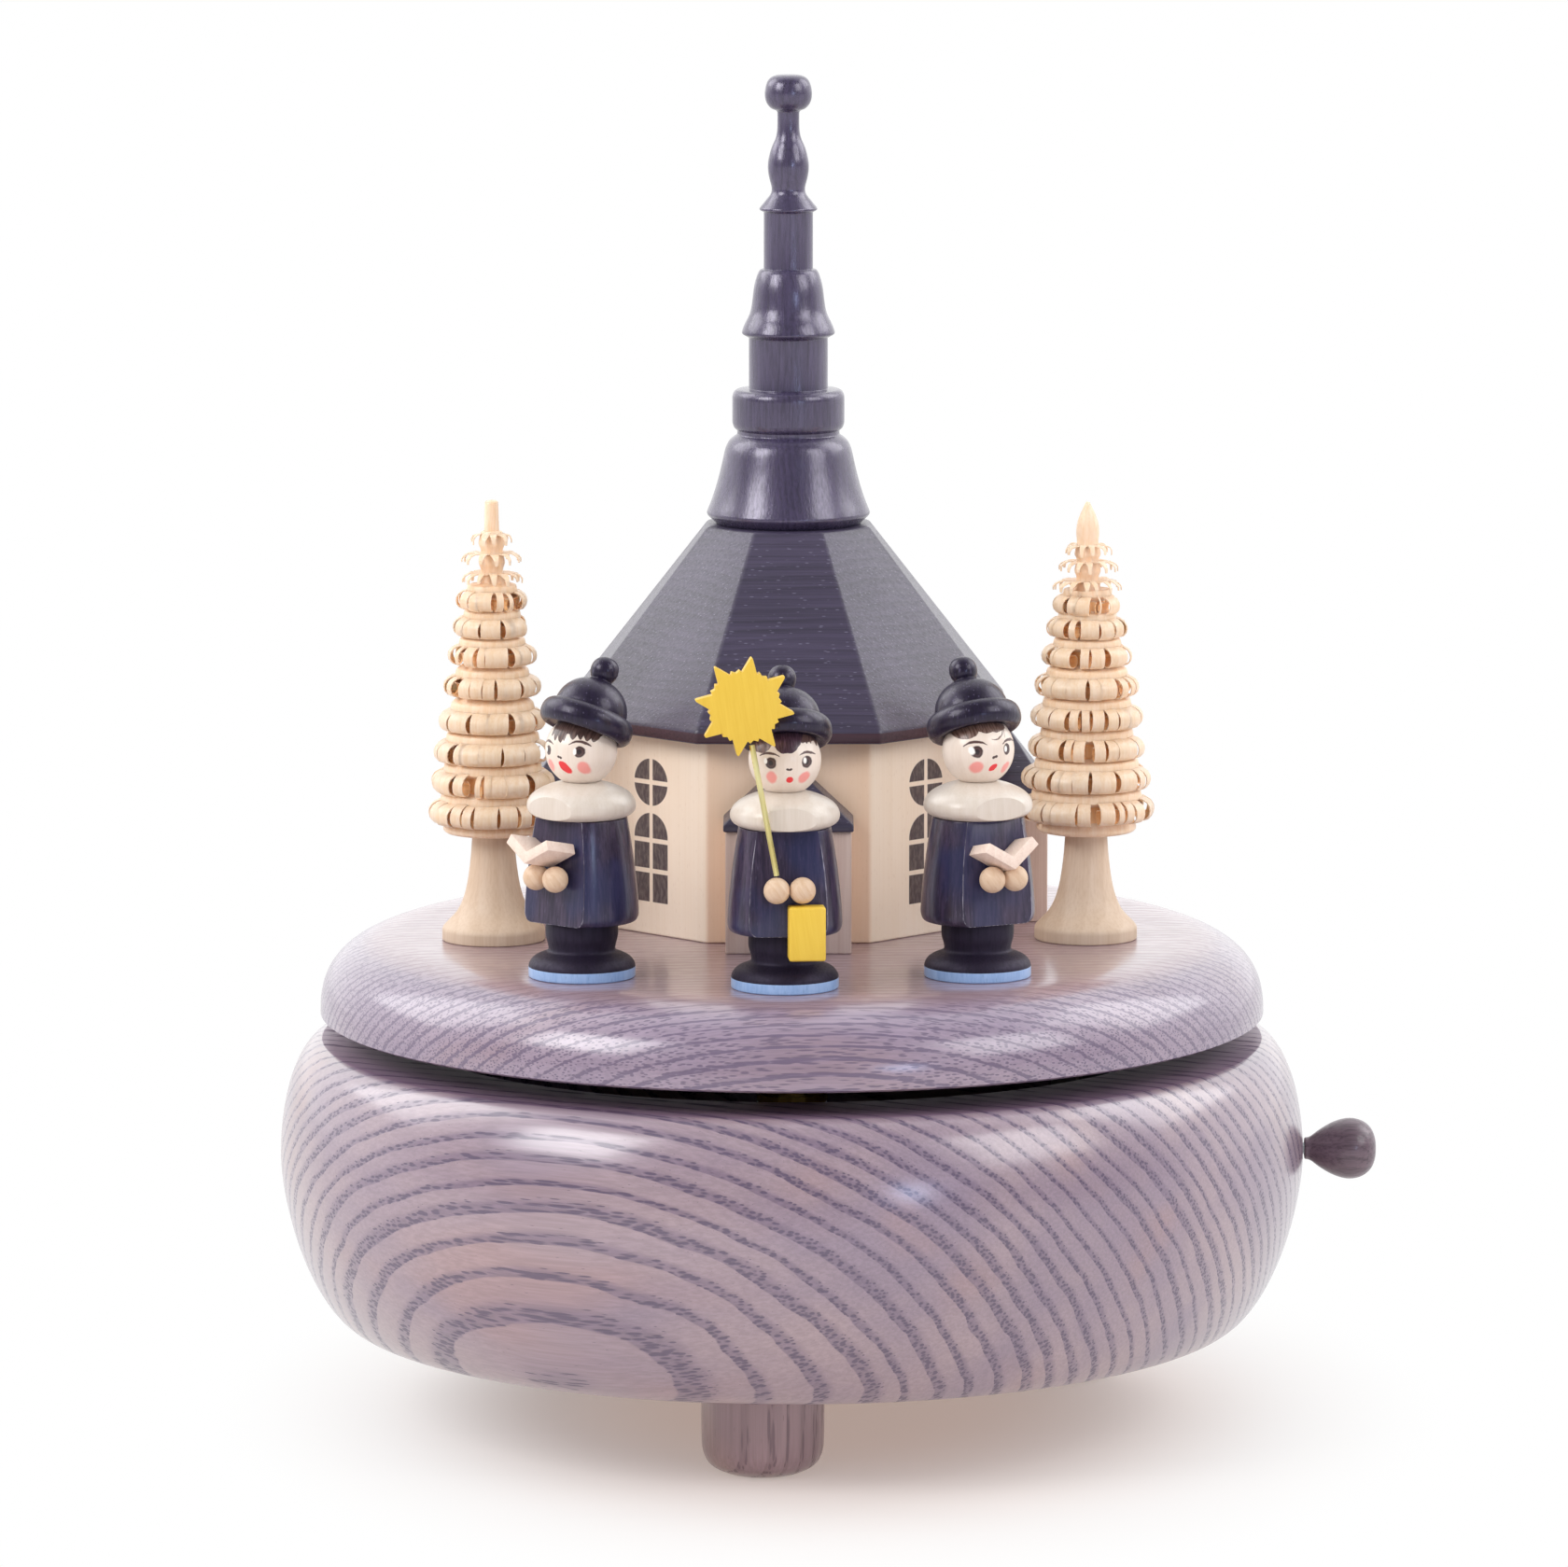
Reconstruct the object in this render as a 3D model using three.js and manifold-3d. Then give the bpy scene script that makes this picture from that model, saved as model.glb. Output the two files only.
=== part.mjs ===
// A wind-up music box. A turned bowl on three feet holds a spring movement with a pinned cylinder
// and a comb. The movement's upright shaft turns a wooden plate that carries an octagonal church,
// two trees of wood shavings and three carol singers. A knob at the side works the stop wire.
// Millimetres, +Z up, the table at z = 0, and the front of the church faces -Y.
import * as THREE from "three";
import { mergeVertices } from "three/addons/utils/BufferGeometryUtils.js";
import { ConvexGeometry } from "three/addons/geometries/ConvexGeometry.js";
import Module from "manifold-3d";

// Clearances that all pieces share
const seatGap = 0.3;
const cutOverrun = 1;
const weldDistance = 1e-4;

// Counts of sides on turned pieces
const bigSides = 36;
const middleSides = 16;
const smallSides = 12;
const pinSides = 8;

// Counts of steps along rounded outlines
const lowerSteps = 7;
const upperSteps = 5;
const plateSteps = 6;
const wireSteps = 34;

// Bowl and its feet
const footRadius = 8.5;
const footHeight = 13.44;
const footStartAngle = -95.3;
const footShares = [[0, 0], [0.61, 0], [0.86, 0.075], [0.965, 0.18], [1, 0.3], [1, 1], [0, 1]];
const bowlWidestRadius = 72.69;
const bowlWidestRise = 23.31;
const bowlHeight = 40.11;
// Shares of the widest radius: the bowl's base, rim and cavity, the feet's circle, and the plate above
const bowlBaseShare = 0.864;
const bowlRimShare = 0.9087;
const cavityShare = 0.7456;
const footCircleShare = 0.6012;
const plateShare = 0.9203;
const bowlLowerPower = 1.62;
const bowlUpperPower = 2.01;
const bowlFloor = 8.56;
const arborBoreRadius = 3.5;

// Turning wooden plate
const plateGap = 3.35;
const plateThickness = 11.3;
const plateFlatShare = 0.7952;
const plateEdgeRise = 0.4;
const plateEdgeInset = 0.7;
const platePower = 2.5;
const plateBoreDepth = 4.1;

// Church: an octagon with flat faces to the front and to both sides
const churchX = -0.5;
const churchY = 17;
const churchApothem = 27.8;
const churchWallHeight = 28.75;
const eaveApothem = 31.2;
const fasciaHeight = 1.71;
const roofRise = 25.94;
const roofTopApothem = 11.5;
const porchHalfWidth = 8.8;
const porchDepth = 9.2;
const porchHeight = 17.3;
const porchRoofHalfWidth = 9.1;
const porchRoofOverhang = 0.6;
const porchFascia = 1;
const porchRoofRise = 9.5;
const porchHipRun = 5.9;
const spireRadius = 11.75;
const spireHeight = 64;
// Radius and height along the spire, from the skirt up to the ball
const spireShares = [
  [0, 0], [0.868, 0], [1, 0.022], [0.911, 0.0625], [0.83, 0.114], [0.749, 0.183], [0.621, 0.2],
  [0.621, 0.209], [0.66, 0.214], [0.681, 0.225], [0.681, 0.289], [0.638, 0.3], [0.479, 0.3015],
  [0.479, 0.4155], [0.57, 0.425], [0.54, 0.442], [0.468, 0.47], [0.44, 0.49], [0.415, 0.53],
  [0.38, 0.558], [0.33, 0.567], [0.298, 0.569], [0.298, 0.695], [0.349, 0.7], [0.349, 0.7045],
  [0.187, 0.7405], [0.264, 0.792], [0.213, 0.8375], [0.132, 0.8655], [0.132, 0.92], [0.21, 0.925],
  [0.275, 0.941], [0.285, 0.962], [0.255, 0.985], [0.16, 1], [0, 1],
];

// Trees: a turned foot with a flared trunk, and a stick shaved into tiers of curls
// Their places, and the singers', are shares of the plate's radius
const treePlaceShares = { left: [-0.6293, -0.1016], right: [0.6203, -0.0837] };
const treeFootRadius = 7.25;
const treeFootHeight = 15;
const treeFootShares = [
  [0, 0], [1, 0], [1, 0.12], [0.93, 0.155], [0.7, 0.27], [0.53, 0.46], [0.44, 0.75], [0.407, 1], [0, 1],
];
const crownRadius = 9.6;
const crownHeight = 47;
const crownStemShare = 0.3;
// Radius and height of each tier's widest place
const crownTierShares = [
  [0.996, 0.063], [1, 0.166], [0.904, 0.265], [0.851, 0.3585], [0.801, 0.452], [0.698, 0.541],
  [0.605, 0.634], [0.54, 0.704], [0.518, 0.769], [0.442, 0.83], [0.355, 0.876],
];
const crownNotchShare = 0.8;
const crownNotchDropShare = 0.034;
const crownTipShares = [[0.16, 0.915], [0.115, 0.94], [0, 1]];

// Carol singers
const singerRadius = 7.9;
const singerBodyHeight = 22.2;
const singerBodyShares = [
  [0, 0], [0.933, 0], [0.933, 0.063], [0.84, 0.075], [0.66, 0.127], [0.57, 0.164], [0.633, 0.29],
  [0.633, 0.35], [0.95, 0.35], [1, 0.378], [0.985, 0.48], [0.95, 0.62], [0.9, 0.78], [0.8, 1], [0, 1],
];
const coatHemShare = 0.35;
const coatFlatAtHemShare = 0.7468;
const coatFlatAtTopShare = 0.595;
const collarRadius = 7.6;
const collarHeight = 4.9;
const collarShares = [
  [0, 0], [0.8, 0], [0.955, 0.12], [1, 0.33], [0.95, 0.55], [0.82, 0.74], [0.6, 0.9], [0.34, 1], [0, 1],
];
const collarFlatAtBaseShare = 0.816;
const collarFlatAtTopShare = 1.013;
const headRadius = 4.95;
const headNeckShare = 0.86;
const headRings = 10;
const hatRadius = 6.3;
const hatRise = 2;
const hatForward = 0.35;
const hatHeight = 10.66;
const hatTilt = 19;
const hatShares = [
  [0, 0], [0.873, 0], [0.968, 0.042], [1, 0.108], [0.976, 0.178], [0.905, 0.244], [0.81, 0.277],
  [0.786, 0.366], [0.698, 0.497], [0.54, 0.6], [0.333, 0.671], [0.214, 0.694], [0.286, 0.75],
  [0.302, 0.822], [0.254, 0.919], [0.143, 0.985], [0, 1],
];
const handRadius = 1.8;
const handRings = 6;
const handHeightShare = 0.65;
const handSpacing = 3.5;
const singerPlaceShares = {
  left: { place: [-0.432, -0.5665], turn: -40 },
  centre: { place: [-0.015, -0.7025], turn: 5 },
  right: { place: [0.3812, -0.5605], turn: 27 },
};

// What the singers hold
const bookPageWidth = 5.1;
const bookDepth = 5;
const bookThickness = 1.5;
const bookAngle = 25;
const bookTilt = 12;
const starRadius = 7;
const starThickness = 1.8;
const starTips = 8;
const starTurn = -8;
// Angle, as a share of the step between tips, and radius of one tip and the little step after it
const starShares = [[0, 1], [0.28, 0.67], [0.36, 0.72], [0.5, 0.67], [0.64, 0.72], [0.72, 0.67]];
const starOffset = -6.12;
const starRise = 17.5;
const poleRadius = 0.4;
const poleSeatShare = 0.72;
const lanternWidth = 5;
const lanternHeight = 7.4;
const lanternDepth = 3;
const lanternOffset = 2.3;

// Movement: frame
const bedThickness = 2.5;
const bedLeft = -22;
const bedToWall = 8.2;
const bedFront = -21;
const bedBack = 25;
const lugWidth = 6;
const lugRise = 3;
const innerScrewX = -16;
const innerScrewReach = 15;
const outerScrewInset = 4;
const outerScrewY = -12;
const mountScrewRadius = 1.4;
const mountHeadRadius = 3;
const mountHeadHeight = 2.4;
const mountHeadRecess = 3;
const bridgeWidth = 10;
const bridgeThickness = 1.5;
const bridgeClearance = 2;
const bridgeLegThickness = 3;

// Movement: spring barrel, winding arbor and key, with the barrel's radii as shares of the cavity's
const barrelShare = 0.2214;
const barrelWall = 1;
const barrelHeight = 14;
const barrelLift = 1.5;
const crownPlate = 1.2;
const crownInnerShare = 0.2472;
const crownOuterShare = 0.2989;
const crownClearance = 0.8;
const crownDepthShare = 1.622;
const crownTeeth = 36;
const stemRadius = 3;
const arborRadius = 2;
const arborCollarRadius = 4;
const arborCollarHeight = 0.8;
const springTurns = 5;
const springStrip = 0.4;
const springStepsPerTurn = 16;
const springInset = 0.7;
const hubRadius = 5;
const hubFlangeRadius = 10;
const hubFlange = 1.5;
const keyStemRadius = 3.2;
const keyWidth = 24;
const keyHeight = 8.4;
const keyThickness = 1.6;
const keyLowest = 2.6;
const keyStemTop = 13.1;
const keyWingShares = [
  [-0.13, 1], [-0.3, 0.93], [-0.44, 0.86], [-0.5, 0.5], [-0.42, 0.1], [-0.28, 0], [-0.13, 0.16],
  [0.13, 0.16], [0.28, 0], [0.42, 0.1], [0.5, 0.5], [0.44, 0.86], [0.3, 0.93], [0.13, 1],
];

// Movement: pinned cylinder and comb
const cylinderRadius = 6.5;
const cylinderToGear = 1.2;
const cylinderShaftRadius = 1.2;
const cylinderShaftOverrun = 0.5;
const tuneTracks = 18;
const pinsPerTrack = 2;
const pinSize = 0.45;
const pinHeight = 0.7;
const pinStepShare = 0.382;
const pinionInset = 0.5;
const pinionWidth = 1.9;
const pinionTeeth = 15;
const innerLugThickness = 2;
const lugToDrum = 1;
const outerLugInset = 3;
const outerLugThickness = 2;
const combThickness = 1;
const combBack = -20.2;
const combSlotEnd = -15;
const combMargin = 0.5;
const combSlotShare = 0.3;
const combPedestalDepth = 5;
const combScrewRadius = 1;
const combHeadRadius = 2.1;
const combHeadHeight = 1.3;
const combScrewLength = 4;
const combScrewInsetShare = 0.25;

// Movement: governor
const gearModule = 0.65;
const cylinderGearTeeth = 24;
const cylinderGearToLug = 3.8;
const cylinderGearWidth = 1.2;
const governorPinionTeeth = 8;
const governorPinionLead = 0.2;
const governorPinionWidth = 1.6;
const governorWheelTeeth = 20;
const governorWheelToLug = 2;
const governorWheelWidth = 1;
const governorShaftRadius = 0.8;
const meshClearance = 0.1;
const wormModule = 0.6;
const wormPitchRadius = 1.6;
const wormRootRadius = 1.1;
const wormTipRadius = 1.95;
const wormTurns = 3;
const wormShaftRadius = 0.6;
const flyRadius = 4;
const flyHeight = 4.5;
const flyThickness = 0.5;
const flyRise = 7.3;
const bracketFoot = 1.2;
const bracketFront = 8;
const bracketPlate = 1.5;
const bracketPlateDepth = 4.5;
const bracketPlateRise = 2.8;
const bracketArm = 1.2;
const bracketArmWidth = 4;
const bracketPostThickness = 1.5;
const bracketPostGap = 1.2;

// Shares of one tooth: depths are of the module, half widths of the step between teeth
const toothRootShare = 1.15;
const toothTipShare = 0.8;
const toothRootHalfShare = 0.24;
const toothTipHalfShare = 0.1;

// Stop wire and its knob
const knobRadius = 4.35;
const knobLength = 10.2;
const knobHeight = 36.9;
const knobShares = [
  [0.37, 0], [0.39, 0.08], [0.6, 0.2], [0.88, 0.4], [1, 0.6],
  [0.92, 0.78], [0.67, 0.92], [0.37, 0.98], [0, 1],
];
const knobBoreDepth = 4.8;
const wireRadius = 0.8;
const wireBend = 2;
const wireRise = 7.6;
const wireSides = 6;

// Radii that follow from the sizes above
const bowlBaseRadius = bowlBaseShare * bowlWidestRadius;
const bowlRimRadius = bowlRimShare * bowlWidestRadius;
const cavityRadius = cavityShare * bowlWidestRadius;
const footCircleRadius = footCircleShare * bowlWidestRadius;
const plateRadius = plateShare * bowlWidestRadius;
const plateFlatRadius = plateFlatShare * plateRadius;
const coatFlatAtHem = coatFlatAtHemShare * singerRadius;
const coatFlatAtTop = coatFlatAtTopShare * singerRadius;
const collarFlatAtBase = collarFlatAtBaseShare * collarRadius;
const collarFlatAtTop = collarFlatAtTopShare * collarRadius;

// Places along the movement, which fills the bowl's cavity from the shaft to the wall
const barrelRadius = barrelShare * cavityRadius;
const crownInner = crownInnerShare * cavityRadius;
const crownOuter = crownOuterShare * cavityRadius;
const bridgeLegInside = crownOuter + crownClearance;
const innerLugStart = crownOuter + crownClearance;
const cylinderStart = innerLugStart + innerLugThickness + lugToDrum;
const cylinderShaftStart = crownInner - cylinderShaftOverrun;
const pinionStart = crownInner + pinionInset;
const bedRight = cavityRadius - bedToWall;
const outerLugStart = bedRight - outerLugInset;
const cylinderGearStart = outerLugStart - cylinderGearToLug;
const governorPinionStart = cylinderGearStart - governorPinionLead;
const governorWheelStart = outerLugStart - governorWheelToLug;
const cylinderEnd = cylinderGearStart - cylinderToGear;
const cylinderLength = cylinderEnd - cylinderStart;
const combScrewInset = combScrewInsetShare * cylinderLength;
const mountScrewPlaces = [
  [innerScrewX, -innerScrewReach], [innerScrewX, innerScrewReach], [bedRight - outerScrewInset, outerScrewY],
];

// Heights that follow from the sizes above
const bowlBaseZ = footHeight;
const cavityZ = bowlBaseZ + bowlFloor;
const rimZ = bowlBaseZ + bowlHeight;
const plateBaseZ = rimZ + plateGap;
const deckZ = plateBaseZ + plateThickness;
const eaveZ = deckZ + churchWallHeight;
const roofTopZ = eaveZ + fasciaHeight + roofRise;
const bedTopZ = cavityZ + bedThickness;
const barrelBaseZ = bedTopZ + barrelLift;
const crownPitchRadius = (crownInner + crownOuter) / 2;
const crownModule = (2 * crownPitchRadius) / crownTeeth;
const pinionRadius = (crownModule * pinionTeeth) / 2;
const cylinderZ = barrelBaseZ + crownPlate + pinionRadius + crownDepthShare * crownModule;
const barrelTopZ = barrelBaseZ + barrelHeight;
const bridgeTopZ = barrelTopZ + bridgeClearance + bridgeThickness;
const handHeight = handHeightShare * singerBodyHeight;
const starHeight = singerBodyHeight + starRise;
const pinReach = cylinderRadius + pinHeight;
const governorY = (gearModule * (cylinderGearTeeth + governorPinionTeeth)) / 2 + meshClearance;
const governorWheelRadius = (wormModule * governorWheelTeeth) / 2;
const wormX = governorWheelStart + governorWheelWidth / 2;
const wormY = governorY + governorWheelRadius + wormPitchRadius + meshClearance;
const flyBaseZ = cylinderZ + flyRise;
const flyTopZ = flyBaseZ + flyHeight;
const centreOfBox = (seatGap + knobLength) / 2;

// Colour, roughness and metalness of each finish
const looks = {
  ash: [0xa08d98, 0.32, 0],
  pale: [0xead6bd, 0.5, 0],
  roof: [0x2b2935, 0.35, 0],
  lime: [0xe6cda5, 0.6, 0],
  coat: [0x2a2b40, 0.35, 0],
  cream: [0xece3d6, 0.4, 0],
  hand: [0xe0c19e, 0.55, 0],
  yellow: [0xf2b51d, 0.5, 0],
  knob: [0x33262b, 0.3, 0],
  brass: [0xc9a24a, 0.3, 0.9],
  steel: [0xb9bcc0, 0.35, 0.9],
  castMetal: [0x9a9a98, 0.5, 0.8],
};

const wasm = await Module();
wasm.setup();

function toSolid(geometry) {
  const plain = geometry.clone();
  plain.deleteAttribute("normal");
  plain.deleteAttribute("uv");
  const merged = mergeVertices(plain, weldDistance);
  const mesh = new wasm.Mesh({
    numProp: 3,
    vertProperties: new Float32Array(merged.attributes.position.array),
    triVerts: new Uint32Array(merged.index.array),
  });
  return new wasm.Manifold(mesh);
}

function toGeometry(solid) {
  const mesh = solid.getMesh();
  const geometry = new THREE.BufferGeometry();
  geometry.setAttribute("position", new THREE.BufferAttribute(mesh.vertProperties, 3));
  geometry.setIndex(new THREE.BufferAttribute(mesh.triVerts, 1));
  geometry.computeVertexNormals();
  return geometry;
}

function join(...geometries) {
  return toGeometry(geometries.map(toSolid).reduce((whole, next) => whole.add(next)));
}

function cut(body, ...tools) {
  return toGeometry(tools.map(toSolid).reduce((rest, tool) => rest.subtract(tool), toSolid(body)));
}

// A turned piece about Z from [radius, height] points that run up the outside
function turned(points, sides) {
  const profile = points.map(([radius, height]) => new THREE.Vector2(radius, height));
  return new THREE.LatheGeometry(profile, sides).rotateX(Math.PI / 2);
}

function turnedFromShares(shares, radius, height, sides) {
  return turned(shares.map(([r, h]) => [r * radius, h * height]), sides);
}

// Points of a rounded shoulder from its widest place to its end
function shoulder(innerRadius, outerRadius, wideZ, endZ, power, steps) {
  const points = [];
  for (let i = 0; i <= steps; i += 1) {
    const angle = (Math.PI / 2) * (i / steps);
    const across = Math.max(Math.cos(angle), 0) ** (2 / power);
    const along = Math.sin(angle) ** (2 / power);
    points.push([innerRadius + (outerRadius - innerRadius) * across, wideZ + (endZ - wideZ) * along]);
  }
  return points;
}

function block(x0, x1, y0, y1, z0, z1) {
  const box = new THREE.BoxGeometry(x1 - x0, y1 - y0, z1 - z0);
  return box.translate((x0 + x1) / 2, (y0 + y1) / 2, (z0 + z1) / 2);
}

function hull(points) {
  return new ConvexGeometry(points.map(([x, y, z]) => new THREE.Vector3(x, y, z)));
}

function uprightPin(radius, x, y, z0, z1, sides = pinSides) {
  const pin = new THREE.CylinderGeometry(radius, radius, z1 - z0, sides).rotateX(Math.PI / 2);
  return pin.translate(x, y, (z0 + z1) / 2);
}

// Turns a shape drawn in X and Y and raised along Z so that it is raised along X
function alongX(geometry) {
  return geometry.rotateX(Math.PI / 2).rotateZ(Math.PI / 2);
}

function levelPin(radius, x0, x1, y, z, sides = pinSides) {
  return alongX(uprightPin(radius, 0, 0, x0, x1, sides)).translate(0, y, z);
}

function raised(outline, depth) {
  return new THREE.ExtrudeGeometry(outline, { depth, bevelEnabled: false });
}

function outlineOf(points) {
  return new THREE.Shape(points.map(([x, y]) => new THREE.Vector2(x, y)));
}

function circlePoints(radius, sides, x = 0, y = 0) {
  const points = [];
  for (let i = 0; i < sides; i += 1) {
    const angle = (2 * Math.PI * i) / sides;
    points.push([x + radius * Math.cos(angle), y + radius * Math.sin(angle)]);
  }
  return points;
}

function holeAt(radius, x, y, sides = pinSides) {
  return new THREE.Path(circlePoints(radius, sides, x, y).map(([u, v]) => new THREE.Vector2(u, v)));
}

function gearOutline(teeth, toothModule, shift) {
  const pitchRadius = (toothModule * teeth) / 2;
  const root = pitchRadius - toothRootShare * toothModule;
  const tip = pitchRadius + toothTipShare * toothModule;
  const corners = [
    [root, -toothRootHalfShare], [tip, -toothTipHalfShare],
    [tip, toothTipHalfShare], [root, toothRootHalfShare],
  ];
  const points = [];
  for (let i = 0; i < teeth; i += 1) {
    for (const [radius, share] of corners) {
      const angle = (2 * Math.PI * (i + shift + share)) / teeth;
      points.push([radius * Math.cos(angle), radius * Math.sin(angle)]);
    }
  }
  return outlineOf(points);
}

function addPiece(group, name, geometry, look) {
  const [color, roughness, metalness] = look;
  const material = new THREE.MeshStandardMaterial({ color, roughness, metalness });
  const mesh = new THREE.Mesh(geometry, material);
  mesh.name = name;
  group.add(mesh);
}

// Bowl

function bowlGeometry() {
  const wideZ = bowlBaseZ + bowlWidestRise;
  const lower = shoulder(bowlBaseRadius, bowlWidestRadius, wideZ, bowlBaseZ, bowlLowerPower, lowerSteps);
  const upper = shoulder(bowlRimRadius, bowlWidestRadius, wideZ, rimZ, bowlUpperPower, upperSteps);
  const inside = [
    [cavityRadius, rimZ], [cavityRadius, cavityZ], [arborBoreRadius, cavityZ], [arborBoreRadius, bowlBaseZ],
  ];
  const outside = [...lower.reverse(), ...upper.slice(1)];
  const body = turned([[arborBoreRadius, bowlBaseZ], ...outside, ...inside], bigSides);
  const tools = mountScrewPlaces.flatMap(([x, y]) => [
    uprightPin(mountHeadRadius + seatGap, x, y,
      bowlBaseZ - cutOverrun, bowlBaseZ + mountHeadRecess, smallSides),
    uprightPin(mountScrewRadius + seatGap, x, y, bowlBaseZ, cavityZ + cutOverrun),
  ]);
  const wireBore = levelPin(wireRadius + seatGap, cavityRadius - cutOverrun,
    bowlWidestRadius + cutOverrun, 0, knobHeight);
  return cut(body, ...tools, wireBore);
}

function buildBowl(group) {
  addPiece(group, "base_bowl", bowlGeometry(), looks.ash);
  ["foot_front", "foot_rear_right", "foot_rear_left"].forEach((name, i) => {
    const angle = THREE.MathUtils.degToRad(footStartAngle + 120 * i);
    const foot = turnedFromShares(footShares, footRadius, footHeight, middleSides);
    foot.translate(footCircleRadius * Math.cos(angle), footCircleRadius * Math.sin(angle), 0);
    addPiece(group, name, foot, looks.ash);
  });
}

// Frame of the movement

function bedGeometry() {
  const outline = outlineOf([
    [bedLeft, bedFront], [bedRight, bedFront], [bedRight, bedBack], [bedLeft, bedBack],
  ]);
  outline.holes = [
    ...mountScrewPlaces.map(([x, y]) => holeAt(mountScrewRadius + seatGap, x, y)),
    holeAt(arborRadius + seatGap, 0, 0),
  ];
  const bed = raised(outline, bedThickness).translate(0, 0, cavityZ);
  const lugTopZ = cylinderZ + lugRise;
  const lugs = [
    block(innerLugStart, innerLugStart + innerLugThickness, -lugWidth / 2, lugWidth / 2, cavityZ, lugTopZ),
    block(outerLugStart, outerLugStart + outerLugThickness, -lugWidth / 2, lugWidth / 2, cavityZ, lugTopZ),
  ];
  const pedestal = block(cylinderStart - combMargin, cylinderEnd + combMargin,
    combBack, combBack + combPedestalDepth, cavityZ, combBaseZ());
  const bearings = levelPin(cylinderShaftRadius + seatGap, innerLugStart - cutOverrun,
    outerLugStart + outerLugThickness + cutOverrun, 0, cylinderZ);
  const threads = combScrewXs().map((x) => uprightPin(combScrewRadius + seatGap, x, combScrewY(),
    combBaseZ() - combScrewLength - seatGap, combBaseZ() + cutOverrun));
  return cut(join(bed, ...lugs, pedestal), bearings, ...threads);
}

function combBaseZ() {
  return cylinderZ - combThickness / 2;
}

function combScrewXs() {
  return [cylinderStart + combScrewInset, cylinderEnd - combScrewInset];
}

function combScrewY() {
  return combBack + combPedestalDepth / 2;
}

function combGeometry() {
  const tipY = -(pinReach + seatGap);
  const step = cylinderLength / tuneTracks;
  const tine = step * (1 - combSlotShare);
  const points = [[cylinderStart - combMargin, combBack]];
  points.push([cylinderEnd + combMargin, combBack], [cylinderEnd + combMargin, combSlotEnd]);
  for (let i = tuneTracks - 1; i >= 0; i -= 1) {
    const middle = cylinderStart + (i + 0.5) * step;
    points.push([middle + tine / 2, combSlotEnd], [middle + tine / 2, tipY]);
    points.push([middle - tine / 2, tipY], [middle - tine / 2, combSlotEnd]);
  }
  points.push([cylinderStart - combMargin, combSlotEnd]);
  const outline = outlineOf(points);
  outline.holes = combScrewXs().map((x) => holeAt(combScrewRadius + seatGap, x, combScrewY()));
  return raised(outline, combThickness).translate(0, 0, combBaseZ());
}

function headedScrew(headRadius, headHeight, shankRadius, shankLength) {
  const points = [
    [0, -shankLength], [shankRadius, -shankLength], [shankRadius, 0],
    [headRadius, 0], [headRadius, headHeight], [0, headHeight],
  ];
  return turned(points, smallSides);
}

function bridgeGeometry() {
  const half = bridgeWidth / 2;
  const outside = bridgeLegInside + bridgeLegThickness;
  const under = bridgeTopZ - bridgeThickness;
  const span = block(-half, half, -outside, outside, under, bridgeTopZ);
  const legs = [
    block(-half, half, -outside, -bridgeLegInside, bedTopZ, bridgeTopZ),
    block(-half, half, bridgeLegInside, outside, bedTopZ, bridgeTopZ),
  ];
  const bore = uprightPin(stemRadius + seatGap, 0, 0,
    under - cutOverrun, bridgeTopZ + cutOverrun, smallSides);
  return cut(join(span, ...legs), bore);
}

function governorBracketGeometry() {
  const left = cylinderEnd - bracketPlate - seatGap;
  const right = outerLugStart + bracketPlate + seatGap;
  const postFront = wormY + flyRadius + bracketPostGap;
  const back = postFront + bracketPostThickness;
  const armZ = flyTopZ + bracketArm;
  const plateTopZ = cylinderZ + bracketPlateRise;
  const plateBack = bracketFront + bracketPlateDepth;
  const armLeft = wormX - bracketArmWidth / 2;
  const armRight = wormX + bracketArmWidth / 2;
  const foot = block(left, right, bracketFront, back, bedTopZ, bedTopZ + bracketFoot);
  const plates = [
    block(left, left + bracketPlate, bracketFront, plateBack, bedTopZ, plateTopZ),
    block(right - bracketPlate, right, bracketFront, plateBack, bedTopZ, plateTopZ),
    block(armLeft, armRight, postFront, back, bedTopZ, armZ + bracketArm),
    block(armLeft, armRight, wormY - bracketArmWidth / 2, back, armZ, armZ + bracketArm),
  ];
  const wheelBore = levelPin(governorShaftRadius + seatGap, left - cutOverrun, right + cutOverrun,
    governorY, cylinderZ);
  const flyBore = uprightPin(wormShaftRadius + seatGap, wormX, wormY, armZ - cutOverrun,
    armZ + bracketArm + cutOverrun);
  return cut(join(foot, ...plates), wheelBore, flyBore);
}

function buildFrame(group) {
  addPiece(group, "bedplate", bedGeometry(), looks.castMetal);
  addPiece(group, "barrel_bridge", bridgeGeometry(), looks.steel);
  addPiece(group, "comb", combGeometry(), looks.steel);
  ["comb_screw_inner", "comb_screw_outer"].forEach((name, i) => {
    const length = combThickness + combScrewLength;
    const screw = headedScrew(combHeadRadius, combHeadHeight, combScrewRadius, length);
    screw.translate(combScrewXs()[i], combScrewY(), combBaseZ() + combThickness);
    addPiece(group, name, screw, looks.brass);
  });
  addPiece(group, "governor_bracket", governorBracketGeometry(), looks.brass);
  ["mounting_screw_front", "mounting_screw_rear", "mounting_screw_outer"].forEach((name, i) => {
    const seatZ = bowlBaseZ + mountHeadRecess;
    const length = bedTopZ - seatGap - seatZ;
    const screw = headedScrew(mountHeadRadius, mountHeadHeight, mountScrewRadius, length).rotateX(Math.PI);
    addPiece(group, name, screw.translate(...mountScrewPlaces[i], seatZ), looks.steel);
  });
}

// Spring barrel, key and upright shaft

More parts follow.
